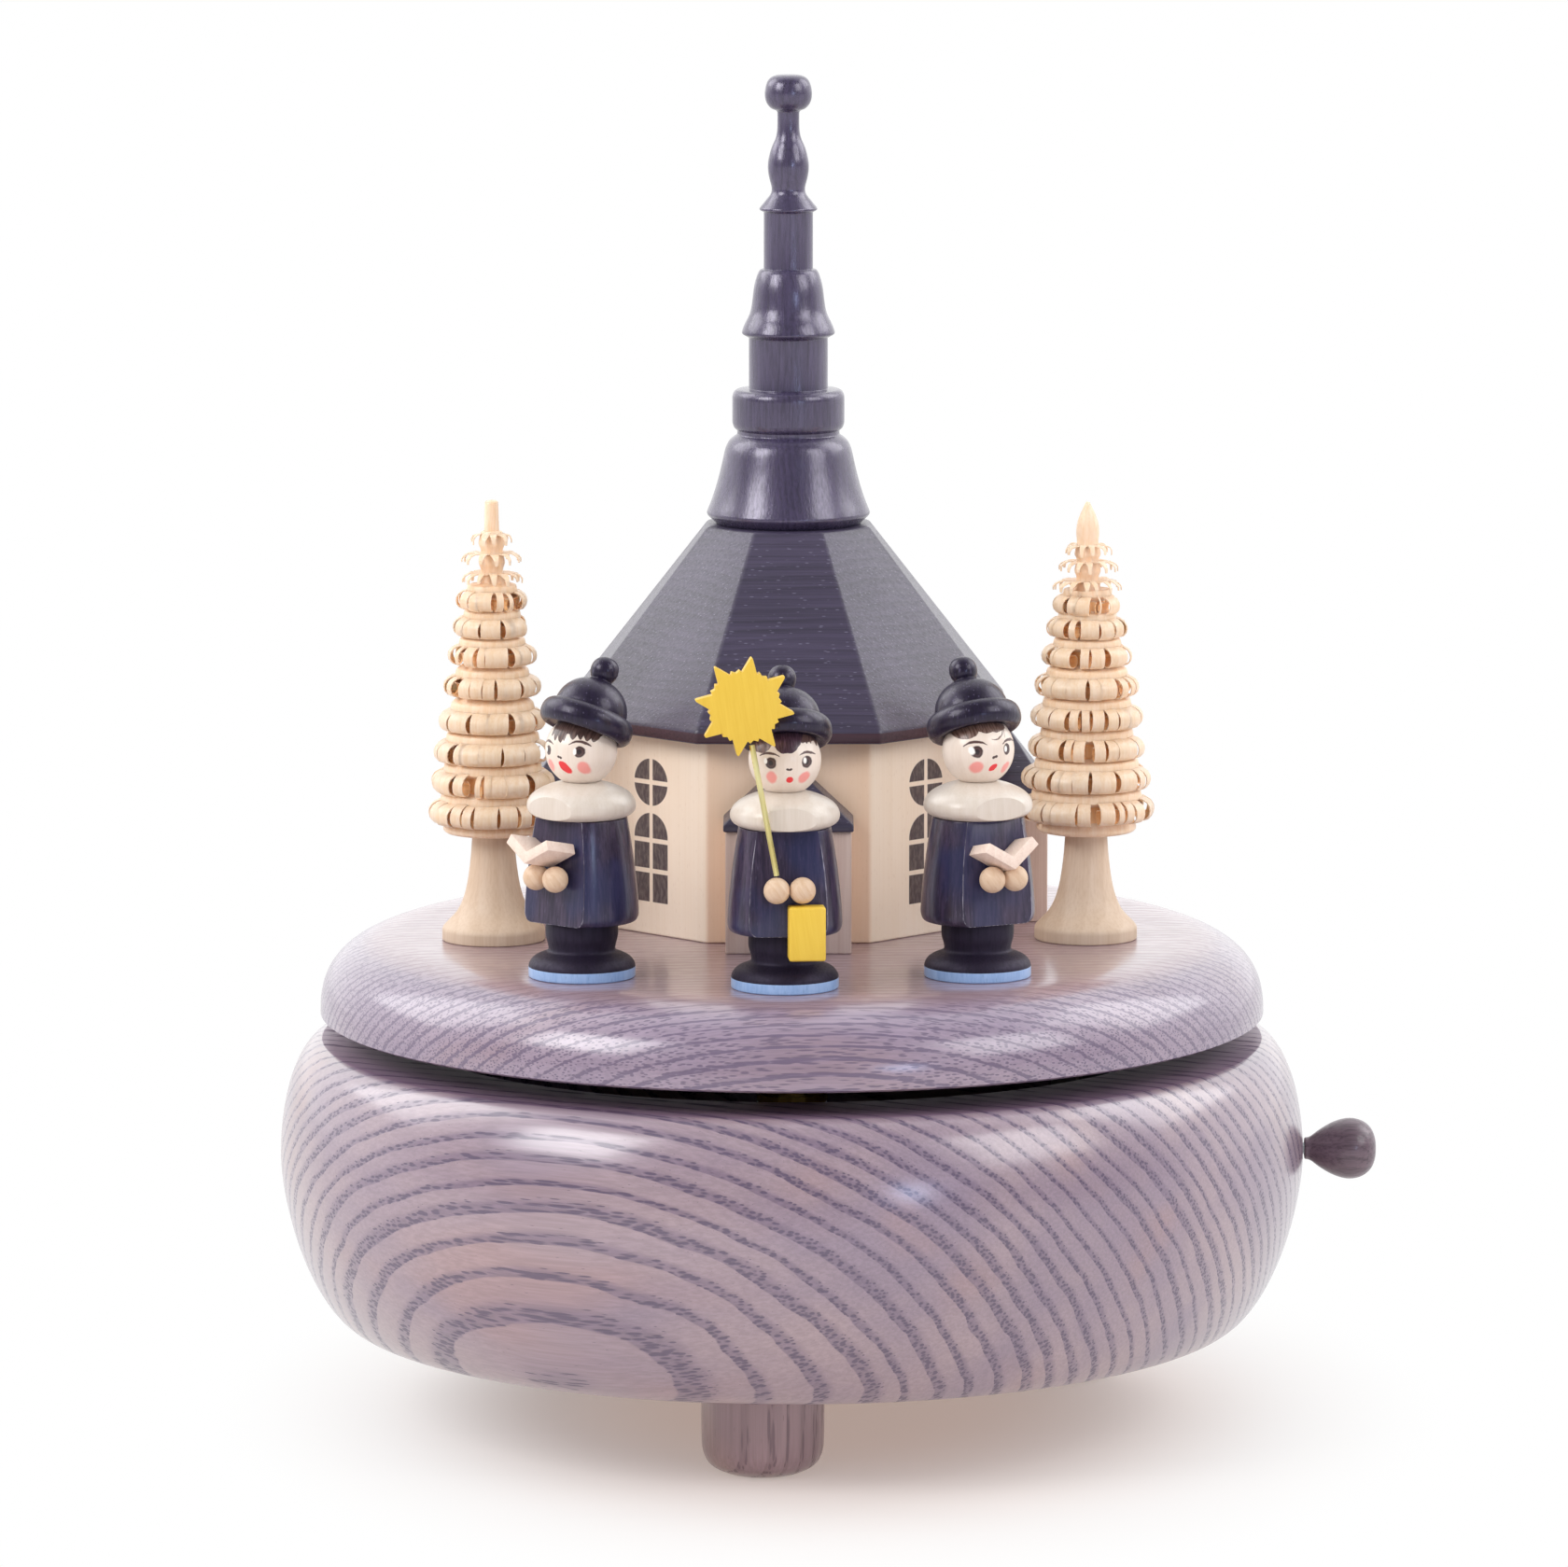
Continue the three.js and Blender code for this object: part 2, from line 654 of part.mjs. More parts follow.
function crownTooth(index) {
  const step = (2 * Math.PI) / crownTeeth;
  const middle = (index + 0.5) * step;
  const pitchZ = cylinderZ - pinionRadius;
  const footZ = barrelBaseZ + crownPlate / 2;
  const tipZ = pitchZ + toothTipShare * crownModule;
  const corners = [];
  for (const radius of [crownInner, crownOuter]) {
    for (const [z, share] of [[footZ, toothRootHalfShare], [tipZ, toothTipHalfShare]]) {
      for (const side of [-1, 1]) {
        const angle = middle + side * share * step;
        corners.push([radius * Math.cos(angle), radius * Math.sin(angle), z]);
      }
    }
  }
  return hull(corners);
}

function barrelGeometry() {
  const insideTopZ = barrelTopZ - barrelWall;
  const insideRadius = barrelRadius - barrelWall;
  const stemTopZ = plateBaseZ + plateBoreDepth - seatGap;
  const body = turned([
    [0, insideTopZ], [insideRadius, insideTopZ], [insideRadius, barrelBaseZ], [crownOuter, barrelBaseZ],
    [crownOuter, barrelBaseZ + crownPlate], [barrelRadius, barrelBaseZ + crownPlate],
    [barrelRadius, barrelTopZ], [stemRadius, barrelTopZ], [stemRadius, stemTopZ], [0, stemTopZ],
  ], bigSides);
  const teeth = [];
  for (let i = 0; i < crownTeeth; i += 1) {
    teeth.push(crownTooth(i));
  }
  return join(body, ...teeth);
}

// A flat strip wound into an even spiral between the arbor and the barrel's wall
function mainspringGeometry() {
  const inner = arborRadius + 2 * seatGap;
  const outer = barrelRadius - barrelWall - seatGap - springStrip;
  const steps = springTurns * springStepsPerTurn;
  const inside = [];
  const outside = [];
  for (let i = 0; i <= steps; i += 1) {
    const angle = (2 * Math.PI * i) / springStepsPerTurn;
    const radius = inner + ((outer - inner) * i) / steps;
    inside.push([radius * Math.cos(angle), radius * Math.sin(angle)]);
    outside.push([(radius + springStrip) * Math.cos(angle), (radius + springStrip) * Math.sin(angle)]);
  }
  const outline = outlineOf([...outside, ...inside.reverse()]);
  const height = barrelHeight - barrelWall - 2 * springInset;
  return raised(outline, height).translate(0, 0, barrelBaseZ + springInset);
}

function hubGeometry() {
  const bore = stemRadius + seatGap;
  const points = [
    [bore, bridgeTopZ + seatGap], [hubRadius, bridgeTopZ + seatGap], [hubRadius, plateBaseZ - hubFlange],
    [hubFlangeRadius, plateBaseZ - hubFlange], [hubFlangeRadius, plateBaseZ], [bore, plateBaseZ],
    [bore, bridgeTopZ + seatGap],
  ];
  return turned(points, middleSides);
}

function arborGeometry() {
  const collarZ = bedTopZ + seatGap;
  const topZ = barrelTopZ - barrelWall - seatGap;
  return turned([
    [0, keyStemTop - keyHeight / 2], [arborRadius, keyStemTop - keyHeight / 2], [arborRadius, collarZ],
    [arborCollarRadius, collarZ], [arborCollarRadius, collarZ + arborCollarHeight],
    [arborRadius, collarZ + arborCollarHeight], [arborRadius, topZ], [0, topZ],
  ], smallSides);
}

function keyGeometry() {
  const wings = raised(outlineOf(keyWingShares.map(([x, z]) => [x * keyWidth, z * keyHeight])), keyThickness);
  wings.rotateX(Math.PI / 2).translate(0, keyThickness / 2, keyLowest);
  const stemBase = keyLowest + keyHeight / 2;
  const stem = uprightPin(keyStemRadius, 0, 0, stemBase, keyStemTop, smallSides);
  const bore = uprightPin(arborRadius + seatGap, 0, 0, keyStemTop - keyHeight / 2 - seatGap,
    keyStemTop + cutOverrun, smallSides);
  return cut(join(wings, stem), bore);
}

// Pinned cylinder

function cylinderGeometry() {
  const drum = levelPin(cylinderRadius, cylinderStart, cylinderEnd, 0, 0, middleSides);
  const shaftEnd = outerLugStart + outerLugThickness + seatGap;
  const shaft = levelPin(cylinderShaftRadius, cylinderShaftStart, shaftEnd, 0, 0);
  const step = cylinderLength / tuneTracks;
  const pins = [];
  for (let track = 0; track < tuneTracks; track += 1) {
    for (let n = 0; n < pinsPerTrack; n += 1) {
      const x = cylinderStart + (track + 0.5) * step;
      const angle = 2 * Math.PI * (track * pinStepShare + n / pinsPerTrack);
      const pin = block(x - pinSize / 2, x + pinSize / 2, -pinSize / 2, pinSize / 2,
        cylinderRadius - pinHeight, pinReach);
      pins.push(pin.rotateX(angle));
    }
  }
  return join(drum, shaft, ...pins).translate(0, 0, cylinderZ);
}

// The shift brings a tooth of the pinion straight down, and a tooth of the gear level to the back
function gearOnCylinder(teeth, toothModule, start, width, shift) {
  const outline = gearOutline(teeth, toothModule, shift);
  outline.holes = [holeAt(cylinderShaftRadius + seatGap, 0, 0)];
  return alongX(raised(outline, width)).translate(start, 0, cylinderZ);
}

// Governor: a wheel with its pinion, and the fly's worm

function governorWheelGeometry() {
  const shaftStart = cylinderEnd - bracketPlate - seatGap;
  const shaftEnd = outerLugStart + bracketPlate + seatGap;
  const pinionShift = (governorPinionTeeth + 1) / 2;
  const pinionOutline = gearOutline(governorPinionTeeth, gearModule, pinionShift);
  const wheelOutline = gearOutline(governorWheelTeeth, wormModule, 0);
  const pinion = alongX(raised(pinionOutline, governorPinionWidth));
  const wheel = alongX(raised(wheelOutline, governorWheelWidth));
  const shaft = levelPin(governorShaftRadius, shaftStart, shaftEnd, 0, 0);
  pinion.translate(governorPinionStart, 0, 0);
  wheel.translate(governorWheelStart, 0, 0);
  return join(shaft, pinion, wheel).translate(0, governorY, cylinderZ);
}

// One closed thread: rings of eight points, and each ring is an eighth of a turn on from the last
function wormThread() {
  const columns = 8;
  const rings = Math.round(wormTurns * columns);
  const pitch = Math.PI * wormModule;
  const heights = [wormTipRadius, wormTipRadius, wormRootRadius, wormRootRadius, wormRootRadius,
    wormRootRadius, wormRootRadius, wormTipRadius];
  const positions = [];
  const faces = [];
  for (let ring = 0; ring <= rings; ring += 1) {
    const z = (ring - rings / 2) * (pitch / columns);
    const atEnd = ring === 0 || ring === rings;
    for (let column = 0; column < columns; column += 1) {
      const angle = (2 * Math.PI * column) / columns;
      const phase = ring - rings / 2 - column - columns / 4 + columns / 2;
      const step = ((Math.round(phase) % columns) + columns) % columns;
      const radius = atEnd ? wormRootRadius : heights[step];
      positions.push(radius * Math.cos(angle), radius * Math.sin(angle), z);
    }
  }
  for (let ring = 0; ring < rings; ring += 1) {
    for (let column = 0; column < columns; column += 1) {
      const a = ring * columns + column;
      const b = ring * columns + ((column + 1) % columns);
      faces.push(a, b, b + columns, a, b + columns, a + columns);
    }
  }
  for (let column = 1; column < columns - 1; column += 1) {
    const top = rings * columns;
    faces.push(0, column + 1, column, top, top + column, top + column + 1);
  }
  const thread = new THREE.BufferGeometry();
  thread.setAttribute("position", new THREE.Float32BufferAttribute(positions, 3));
  thread.setIndex(faces);
  return thread;
}

function flyGeometry() {
  const bottom = bedTopZ + bracketFoot + seatGap - cylinderZ;
  const top = flyTopZ + 2 * bracketArm - seatGap - cylinderZ;
  const bladeBase = flyBaseZ - cylinderZ;
  const blades = block(-flyRadius, flyRadius, -flyThickness / 2, flyThickness / 2,
    bladeBase, bladeBase + flyHeight);
  const shaft = uprightPin(wormShaftRadius, 0, 0, bottom, top, pinSides);
  return join(wormThread(), shaft, blades).translate(wormX, wormY, cylinderZ);
}

// Stop wire: from the knob in through the bowl's wall, then across and up beside the fly

function wireGeometry() {
  const x = wormX + flyRadius + seatGap + wireRadius;
  const outerX = bowlWidestRadius + knobBoreDepth;
  const topZ = knobHeight + wireRise;
  const route = new THREE.CurvePath();
  const point = (px, py, pz) => new THREE.Vector3(px, py, pz);
  route.add(new THREE.LineCurve3(point(outerX, 0, knobHeight), point(x + wireBend, 0, knobHeight)));
  route.add(new THREE.QuadraticBezierCurve3(
    point(x + wireBend, 0, knobHeight), point(x, 0, knobHeight), point(x, wireBend, knobHeight)));
  route.add(new THREE.LineCurve3(point(x, wireBend, knobHeight), point(x, wormY - wireBend, knobHeight)));
  route.add(new THREE.QuadraticBezierCurve3(
    point(x, wormY - wireBend, knobHeight), point(x, wormY, knobHeight),
    point(x, wormY, knobHeight + wireBend)));
  route.add(new THREE.LineCurve3(point(x, wormY, knobHeight + wireBend), point(x, wormY, topZ)));
  const section = outlineOf(circlePoints(wireRadius, wireSides));
  return new THREE.ExtrudeGeometry(section, { steps: wireSteps, bevelEnabled: false, extrudePath: route });
}

function knobGeometry() {
  const bore = wireRadius + seatGap;
  const profile = [
    [0, knobBoreDepth], [bore, knobBoreDepth], [bore, 0],
    ...knobShares.map(([r, along]) => [r * knobRadius, along * knobLength]),
  ];
  return alongX(turned(profile, middleSides)).translate(bowlWidestRadius + seatGap, 0, knobHeight);
}

function buildMovement(group) {
  addPiece(group, "winding_arbor", arborGeometry(), looks.steel);
  addPiece(group, "winding_key", keyGeometry(), looks.brass);
  addPiece(group, "spring_barrel", barrelGeometry(), looks.brass);
  addPiece(group, "mainspring", mainspringGeometry(), looks.steel);
  addPiece(group, "turntable_hub", hubGeometry(), looks.brass);
  addPiece(group, "pin_cylinder", cylinderGeometry(), looks.brass);
  addPiece(group, "cylinder_pinion",
    gearOnCylinder(pinionTeeth, crownModule, pinionStart, pinionWidth, (3 * pinionTeeth) / 4), looks.brass);
  addPiece(group, "cylinder_gear",
    gearOnCylinder(cylinderGearTeeth, gearModule, cylinderGearStart, cylinderGearWidth, 0), looks.brass);
  addPiece(group, "governor_wheel", governorWheelGeometry(), looks.brass);
  addPiece(group, "worm_fly", flyGeometry(), looks.steel);
  addPiece(group, "stopper_wire", wireGeometry(), looks.steel);
  addPiece(group, "stopper_knob", knobGeometry(), looks.knob);
}

// Plate, church and trees

function onPlate([x, y]) {
  return [x * plateRadius, y * plateRadius];
}

function plateGeometry() {
  const bore = stemRadius + seatGap;
  const edgeZ = plateBaseZ + plateEdgeRise;
  const edge = shoulder(plateFlatRadius, plateRadius, edgeZ, deckZ, platePower, plateSteps);
  const points = [
    [0, plateBaseZ + plateBoreDepth], [bore, plateBaseZ + plateBoreDepth], [bore, plateBaseZ],
    [plateRadius - plateEdgeInset, plateBaseZ], ...edge, [0, deckZ],
  ];
  return turned(points, bigSides);
}

function octagon(apothem, z) {
  const radius = apothem / Math.cos(Math.PI / 8);
  const corners = [];
  for (let i = 0; i < 8; i += 1) {
    const angle = (Math.PI / 4) * (i + 0.5);
    corners.push([radius * Math.cos(angle), radius * Math.sin(angle), z]);
  }
  return corners;
}

function porchRoofGeometry() {
  const w = porchRoofHalfWidth;
  const back = -churchApothem;
  const front = -(churchApothem + porchDepth + porchRoofOverhang);
  const eave = deckZ + porchHeight;
  const ridge = eave + porchRoofRise;
  const corners = [];
  for (const z of [eave, eave + porchFascia]) {
    corners.push([-w, back, z], [w, back, z], [w, front, z], [-w, front, z]);
  }
  return hull([...corners, [0, back, ridge], [0, front + porchHipRun, ridge]]);
}

function buildChurch(group) {
  const church = new THREE.Group();
  church.position.set(churchX, churchY, 0);
  group.add(church);
  const walls = hull([...octagon(churchApothem, deckZ), ...octagon(churchApothem, eaveZ)]);
  const roof = hull([
    ...octagon(eaveApothem, eaveZ),
    ...octagon(eaveApothem, eaveZ + fasciaHeight),
    ...octagon(roofTopApothem, roofTopZ),
  ]);
  const spire = turnedFromShares(spireShares, spireRadius, spireHeight, middleSides);
  addPiece(church, "church_walls", walls, looks.pale);
  addPiece(church, "church_roof", roof, looks.roof);
  addPiece(church, "church_spire", spire.translate(0, 0, roofTopZ), looks.roof);
  const sides = { front: 0, right: Math.PI / 2, left: -Math.PI / 2 };
  for (const [side, turn] of Object.entries(sides)) {
    const porch = block(-porchHalfWidth, porchHalfWidth, -(churchApothem + porchDepth), -churchApothem,
      deckZ, deckZ + porchHeight);
    addPiece(church, "porch_" + side, porch.rotateZ(turn), looks.pale);
    addPiece(church, "porch_roof_" + side, porchRoofGeometry().rotateZ(turn), looks.roof);
  }
}

function crownGeometry() {
  const points = [[0, 0], [crownStemShare, 0]];
  for (const [radius, height] of crownTierShares) {
    points.push([radius * crownNotchShare, height - crownNotchDropShare], [radius, height]);
  }
  return turnedFromShares([...points, ...crownTipShares], crownRadius, crownHeight, smallSides);
}

function buildTrees(group) {
  for (const [side, shares] of Object.entries(treePlaceShares)) {
    const place = onPlate(shares);
    const foot = turnedFromShares(treeFootShares, treeFootRadius, treeFootHeight, middleSides);
    addPiece(group, "tree_foot_" + side, foot.translate(...place, deckZ), looks.lime);
    const crown = crownGeometry().translate(...place, deckZ + treeFootHeight);
    addPiece(group, "tree_crown_" + side, crown, looks.lime);
  }
}

// Singers

// A wedge in front of a figure whose near face leans from one distance to another
function frontWedge(lowerDistance, upperDistance, lowerZ, upperZ, reach) {
  const corners = [];
  for (const x of [-reach, reach]) {
    corners.push([x, -lowerDistance, lowerZ], [x, -upperDistance, upperZ]);
    corners.push([x, -reach, lowerZ], [x, -reach, upperZ]);
  }
  return hull(corners);
}

function headCentreZ() {
  return singerBodyHeight + collarHeight + headNeckShare * headRadius;
}

function singerBodyGeometry() {
  const body = turnedFromShares(singerBodyShares, singerRadius, singerBodyHeight, middleSides);
  const hemZ = coatHemShare * singerBodyHeight - weldDistance;
  const lean = (coatFlatAtTop - coatFlatAtHem) / (singerBodyHeight - hemZ);
  const upperZ = singerBodyHeight + cutOverrun;
  const upperDistance = coatFlatAtHem + lean * (upperZ - hemZ);
  return cut(body, frontWedge(coatFlatAtHem, upperDistance, hemZ, upperZ, singerRadius + cutOverrun));
}

function collarGeometry() {
  const collar = turnedFromShares(collarShares, collarRadius, collarHeight, middleSides);
  const lean = (collarFlatAtTop - collarFlatAtBase) / collarHeight;
  const lowerDistance = collarFlatAtBase - lean * cutOverrun;
  const wedge = frontWedge(lowerDistance, collarFlatAtTop, -cutOverrun, collarHeight,
    collarRadius + cutOverrun);
  return cut(collar, wedge).translate(0, 0, singerBodyHeight);
}

function tilted(geometry) {
  return geometry.rotateX(-THREE.MathUtils.degToRad(hatTilt)).translate(0, 0, headCentreZ());
}

function headGeometry() {
  const ball = new THREE.SphereGeometry(headRadius, middleSides, headRings).rotateX(Math.PI / 2);
  ball.translate(0, 0, headCentreZ());
  const reach = headRadius + cutOverrun;
  const neckZ = singerBodyHeight + collarHeight;
  const below = block(-reach, reach, -reach, reach, neckZ - headRadius, neckZ);
  const above = tilted(block(-reach, reach, -reach, reach, hatRise - seatGap, reach));
  return cut(ball, below, above);
}

function hatGeometry() {
  return tilted(turnedFromShares(hatShares, hatRadius, hatHeight, middleSides)
    .translate(0, -hatForward, hatRise));
}

function coatDistanceAt(z) {
  const hemZ = coatHemShare * singerBodyHeight;
  return coatFlatAtHem + ((coatFlatAtTop - coatFlatAtHem) * (z - hemZ)) / (singerBodyHeight - hemZ);
}

function handY() {
  return -(coatDistanceAt(handHeight) + seatGap + handRadius);
}

function handsGeometry() {
  const beads = [-1, 1].map((side) => {
    const bead = new THREE.SphereGeometry(handRadius, smallSides, handRings);
    return bead.translate((side * handSpacing) / 2, 0, 0);
  });
  return join(...beads).translate(0, handY(), handHeight);
}

function bookGeometry() {
  const angle = THREE.MathUtils.degToRad(bookAngle);
  const tipX = bookPageWidth * Math.cos(angle);
  const tipZ = bookPageWidth * Math.sin(angle);
  const innerX = tipX - bookThickness * Math.sin(angle);
  const innerZ = tipZ + bookThickness * Math.cos(angle);
  const points = [[0, 0], [tipX, tipZ], [innerX, innerZ], [0, bookThickness / Math.cos(angle)],
    [-innerX, innerZ], [-tipX, tipZ]];
  const book = raised(outlineOf(points), bookDepth).rotateX(Math.PI / 2);
  const nearY = -(coatDistanceAt(handHeight) + seatGap);
  const seatZ = handHeight + handRadius + seatGap;
  return book.rotateX(-THREE.MathUtils.degToRad(bookTilt)).translate(0, nearY, seatZ);
}

function starGeometry() {
  const points = [];
  for (let tip = 0; tip < starTips; tip += 1) {
    for (const [share, reach] of starShares) {
      const angle = (2 * Math.PI * (tip + share)) / starTips + THREE.MathUtils.degToRad(90 + starTurn);
      points.push([reach * starRadius * Math.cos(angle), reach * starRadius * Math.sin(angle)]);
    }
  }
  const star = raised(outlineOf(points), starThickness).rotateX(Math.PI / 2);
  return star.translate(starOffset, starY() + starThickness / 2, starHeight);
}

function starY() {
  return -(hatRadius + seatGap + starThickness / 2);
}

// The pole runs from the top of the right hand's bead up to the star's lower edge
function poleGeometry() {
  const from = new THREE.Vector3(-handSpacing / 2, handY(), handHeight + handRadius + seatGap);
  const to = new THREE.Vector3(starOffset, starY(), starHeight);
  const reach = to.distanceTo(from) - poleSeatShare * starRadius - seatGap;
  const pole = new THREE.CylinderGeometry(poleRadius, poleRadius, reach, pinSides);
  const direction = to.clone().sub(from).normalize();
  const turn = new THREE.Quaternion().setFromUnitVectors(new THREE.Vector3(0, 1, 0), direction);
  const middle = from.clone().addScaledVector(direction, reach / 2);
  return pole.applyQuaternion(turn).translate(middle.x, middle.y, middle.z);
}

function lanternGeometry() {
  const topZ = handHeight - handRadius - seatGap;
  const backY = -(coatFlatAtHem + seatGap);
  return block(lanternOffset - lanternWidth / 2, lanternOffset + lanternWidth / 2,
    backY - lanternDepth, backY, topZ - lanternHeight, topZ);
}

function buildSingers(group) {
  for (const [name, { place, turn }] of Object.entries(singerPlaceShares)) {
    const singer = new THREE.Group();
    singer.position.set(...onPlate(place), deckZ);
    singer.rotation.z = THREE.MathUtils.degToRad(turn);
    group.add(singer);
    addPiece(singer, "singer_" + name + "_body", singerBodyGeometry(), looks.coat);
    addPiece(singer, "singer_" + name + "_collar", collarGeometry(), looks.cream);
    addPiece(singer, "singer_" + name + "_head", headGeometry(), looks.cream);
    addPiece(singer, "singer_" + name + "_hat", hatGeometry(), looks.coat);
    addPiece(singer, "singer_" + name + "_hands", handsGeometry(), looks.hand);
    if (name === "centre") {
      addPiece(singer, "star", starGeometry(), looks.yellow);
      addPiece(singer, "star_pole", poleGeometry(), looks.brass);
      addPiece(singer, "lantern", lanternGeometry(), looks.yellow);
    } else {
      addPiece(singer, "book_" + name, bookGeometry(), looks.hand);
    }
  }
}

function buildMusicBox() {
  const musicBox = new THREE.Group();
  // The origin is under the middle of the whole width, which the knob shifts from the bowl's axis
  musicBox.position.x = -centreOfBox;
  buildBowl(musicBox);
  buildFrame(musicBox);
  buildMovement(musicBox);
  const turning = new THREE.Group();
  musicBox.add(turning);
  addPiece(turning, "turntable", plateGeometry(), looks.ash);
  buildChurch(turning);
  buildTrees(turning);
  buildSingers(turning);
  return musicBox;
}

export default buildMusicBox();
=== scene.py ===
# The looks of a wind-up music box. A stained ash bowl carries a turning plate with a small church,
# two shaved trees and three carol singers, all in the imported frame's own place, in metres.
import functools
import math
import random

import bmesh
import bpy
from mathutils import Matrix, Vector


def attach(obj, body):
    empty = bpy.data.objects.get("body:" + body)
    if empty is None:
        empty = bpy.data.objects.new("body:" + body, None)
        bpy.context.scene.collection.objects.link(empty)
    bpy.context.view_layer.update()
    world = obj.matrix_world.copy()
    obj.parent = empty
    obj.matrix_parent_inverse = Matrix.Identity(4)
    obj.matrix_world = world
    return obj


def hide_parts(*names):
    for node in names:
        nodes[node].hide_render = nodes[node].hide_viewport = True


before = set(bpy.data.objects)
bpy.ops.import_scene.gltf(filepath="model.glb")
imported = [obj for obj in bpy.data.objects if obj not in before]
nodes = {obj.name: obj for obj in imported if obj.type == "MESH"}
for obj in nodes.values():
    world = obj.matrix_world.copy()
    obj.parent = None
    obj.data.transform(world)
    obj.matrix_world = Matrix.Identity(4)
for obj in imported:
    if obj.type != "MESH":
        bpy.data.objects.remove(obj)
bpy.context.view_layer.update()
mm = 0.001
axisX = -5.25   # the bowl's own middle, in mm; the knob at the side shifts the whole
deckZ = 68.2    # top of the turning plate
weld = 2e-6     # in metres: points nearer than this are one
smoothBelow = math.radians(34)


def shade(code):
    parts = [int(code[i:i + 2], 16) / 255 for i in (1, 3, 5)]
    return tuple(p / 12.92 if p <= 0.04045 else ((p + 0.055) / 1.055) ** 2.4 for p in parts) + (1.0,)


# Camera, light and floor

camera = {"place": (-6.37, -1187.55, 261.8), "target": (-6.37, 0, 89.4), "lens": 194.57, "sensor": 36,
          "farthest": 20}
lampTarget = (axisX * mm, 0, 0.08)
lamps = {
    "leftSoftbox": {"azimuth": -55, "elevation": 34, "distance": 0.95, "size": 0.42, "power": 4.4},
    "rightSoftbox": {"azimuth": 58, "elevation": 31, "distance": 0.95, "size": 0.46, "power": 2.8},
    "leftPanel": {"azimuth": -112, "elevation": 36, "distance": 0.95, "size": 0.6, "power": 2.9},
    "rightPanel": {"azimuth": 110, "elevation": 36, "distance": 0.95, "size": 0.6, "power": 2.9},
    "backPanel": {"azimuth": 180, "elevation": 24, "distance": 1.2, "size": 0.9, "power": 3.3,
                  "mirrored": False},
    "window": {"azimuth": 25.5, "elevation": 8, "distance": 1.4, "size": 0.18, "power": 1.1,
               "colour": (0.55, 0.7, 1.0)},
}
# The floor's glow under the bowl is painted light: it lightens the cast shadow and warms it as painted bounce
# light
studio = {
    "ambient": 0.6, "dark": 0.16, "behind": 1.35, "horizon": (-0.35, 0.45), "floorSize": 6.0,
    "floorColour": "#e3d8d3", "footprint": (1.25, 0.95, 1), "paintedBounceColour": "#ffe4d6",
    "paintedBounceReach": (0.02, 0.085), "clearUnder": 0.38, "clearReach": (0.045, 0.112),
}


def linked(name, data):
    thing = bpy.data.objects.new(name, data)
    bpy.context.scene.collection.objects.link(thing)
    return thing


def aimed(thing, place, way):
    thing.location = place
    thing.rotation_euler = way.to_track_quat("-Z", "Y").to_euler()


def addCamera():
    data = bpy.data.cameras.new("photoCamera")
    data.lens, data.sensor_width, data.clip_end = camera["lens"], camera["sensor"], camera["farthest"]
    holder = linked("photoCamera", data)
    place = Vector(camera["place"])
    aimed(holder, place * mm, (Vector(camera["target"]) - place).normalized())
    bpy.context.scene.camera = holder


def addLamps():
    for name, lamp in lamps.items():
        data = bpy.data.lights.new(name, "AREA")
        data.shape, data.size, data.energy = "SQUARE", lamp["size"], lamp["power"]
        data.color = lamp.get("colour", (1, 1, 1))
        turn, rise = math.radians(lamp["azimuth"]), math.radians(lamp["elevation"])
        way = Vector((math.sin(turn) * math.cos(rise), -math.cos(turn) * math.cos(rise), math.sin(rise)))
        holder = linked(name, data)
        aimed(holder, Vector(lampTarget) + way * lamp["distance"], -way)
        holder.visible_camera = False
        holder.visible_glossy = lamp.get("mirrored", True)


# Short ways to add nodes. A value is a socket, a number, a tuple or a colour code

def feed(socket, value):
    if isinstance(value, bpy.types.NodeSocket):
        socket.id_data.links.new(value, socket)
    else:
        socket.default_value = shade(value) if isinstance(value, str) else value


def source(tree, kind, output, **settings):
    node = tree.nodes.new(kind)
    for name, value in settings.items():
        setattr(node, name, value)
    return node.outputs[output]


# The new node goes into the tree that its inputs come from
def wire(kind, inputs, output=0, **settings):
    tree = next(value.id_data for value in inputs.values() if isinstance(value, bpy.types.NodeSocket))
    made = source(tree, kind, output, **settings)
    for name, value in inputs.items():
        feed(made.node.inputs[name], value)
    return made


def calc(operation, *values):
    return wire("ShaderNodeMath", dict(enumerate(values)), operation=operation)


plus, minus, times, over, larger, smaller = (functools.partial(calc, operation) for operation in (
    "ADD", "SUBTRACT", "MULTIPLY", "DIVIDE", "MAXIMUM", "MINIMUM"))


def apart(first, second):
    return calc("ABSOLUTE", minus(first, second))


def distance(x, y):
    return calc("SQRT", plus(times(x, x), times(y, y)))


def ramp(value, low, high, toLow=0.0, toHigh=1.0):
    inputs = {"Value": value, "From Min": low, "From Max": high, "To Min": toLow, "To Max": toHigh}
    return wire("ShaderNodeMapRange", inputs, interpolation_type="SMOOTHSTEP")


def fall(value, low, high):
    return ramp(value, low, high, 1.0, 0.0)


def mixed(factor, first, second, mode="MIX"):
    return wire("ShaderNodeMix", {0: factor, 6: first, 7: second}, 2, data_type="RGBA", blend_type=mode)


def stretched(vector, scale):
    return wire("ShaderNodeVectorMath", {0: vector, 1: scale}, operation="MULTIPLY")


def split(vector):
    return wire("ShaderNodeSeparateXYZ", {0: vector}).node.outputs


def noise(vector, scale, detail=2.0, rough=0.5):
    inputs = {"Vector": stretched(vector, scale), "Scale": 1.0, "Detail": detail, "Roughness": rough}
    return wire("ShaderNodeTexNoise", inputs)


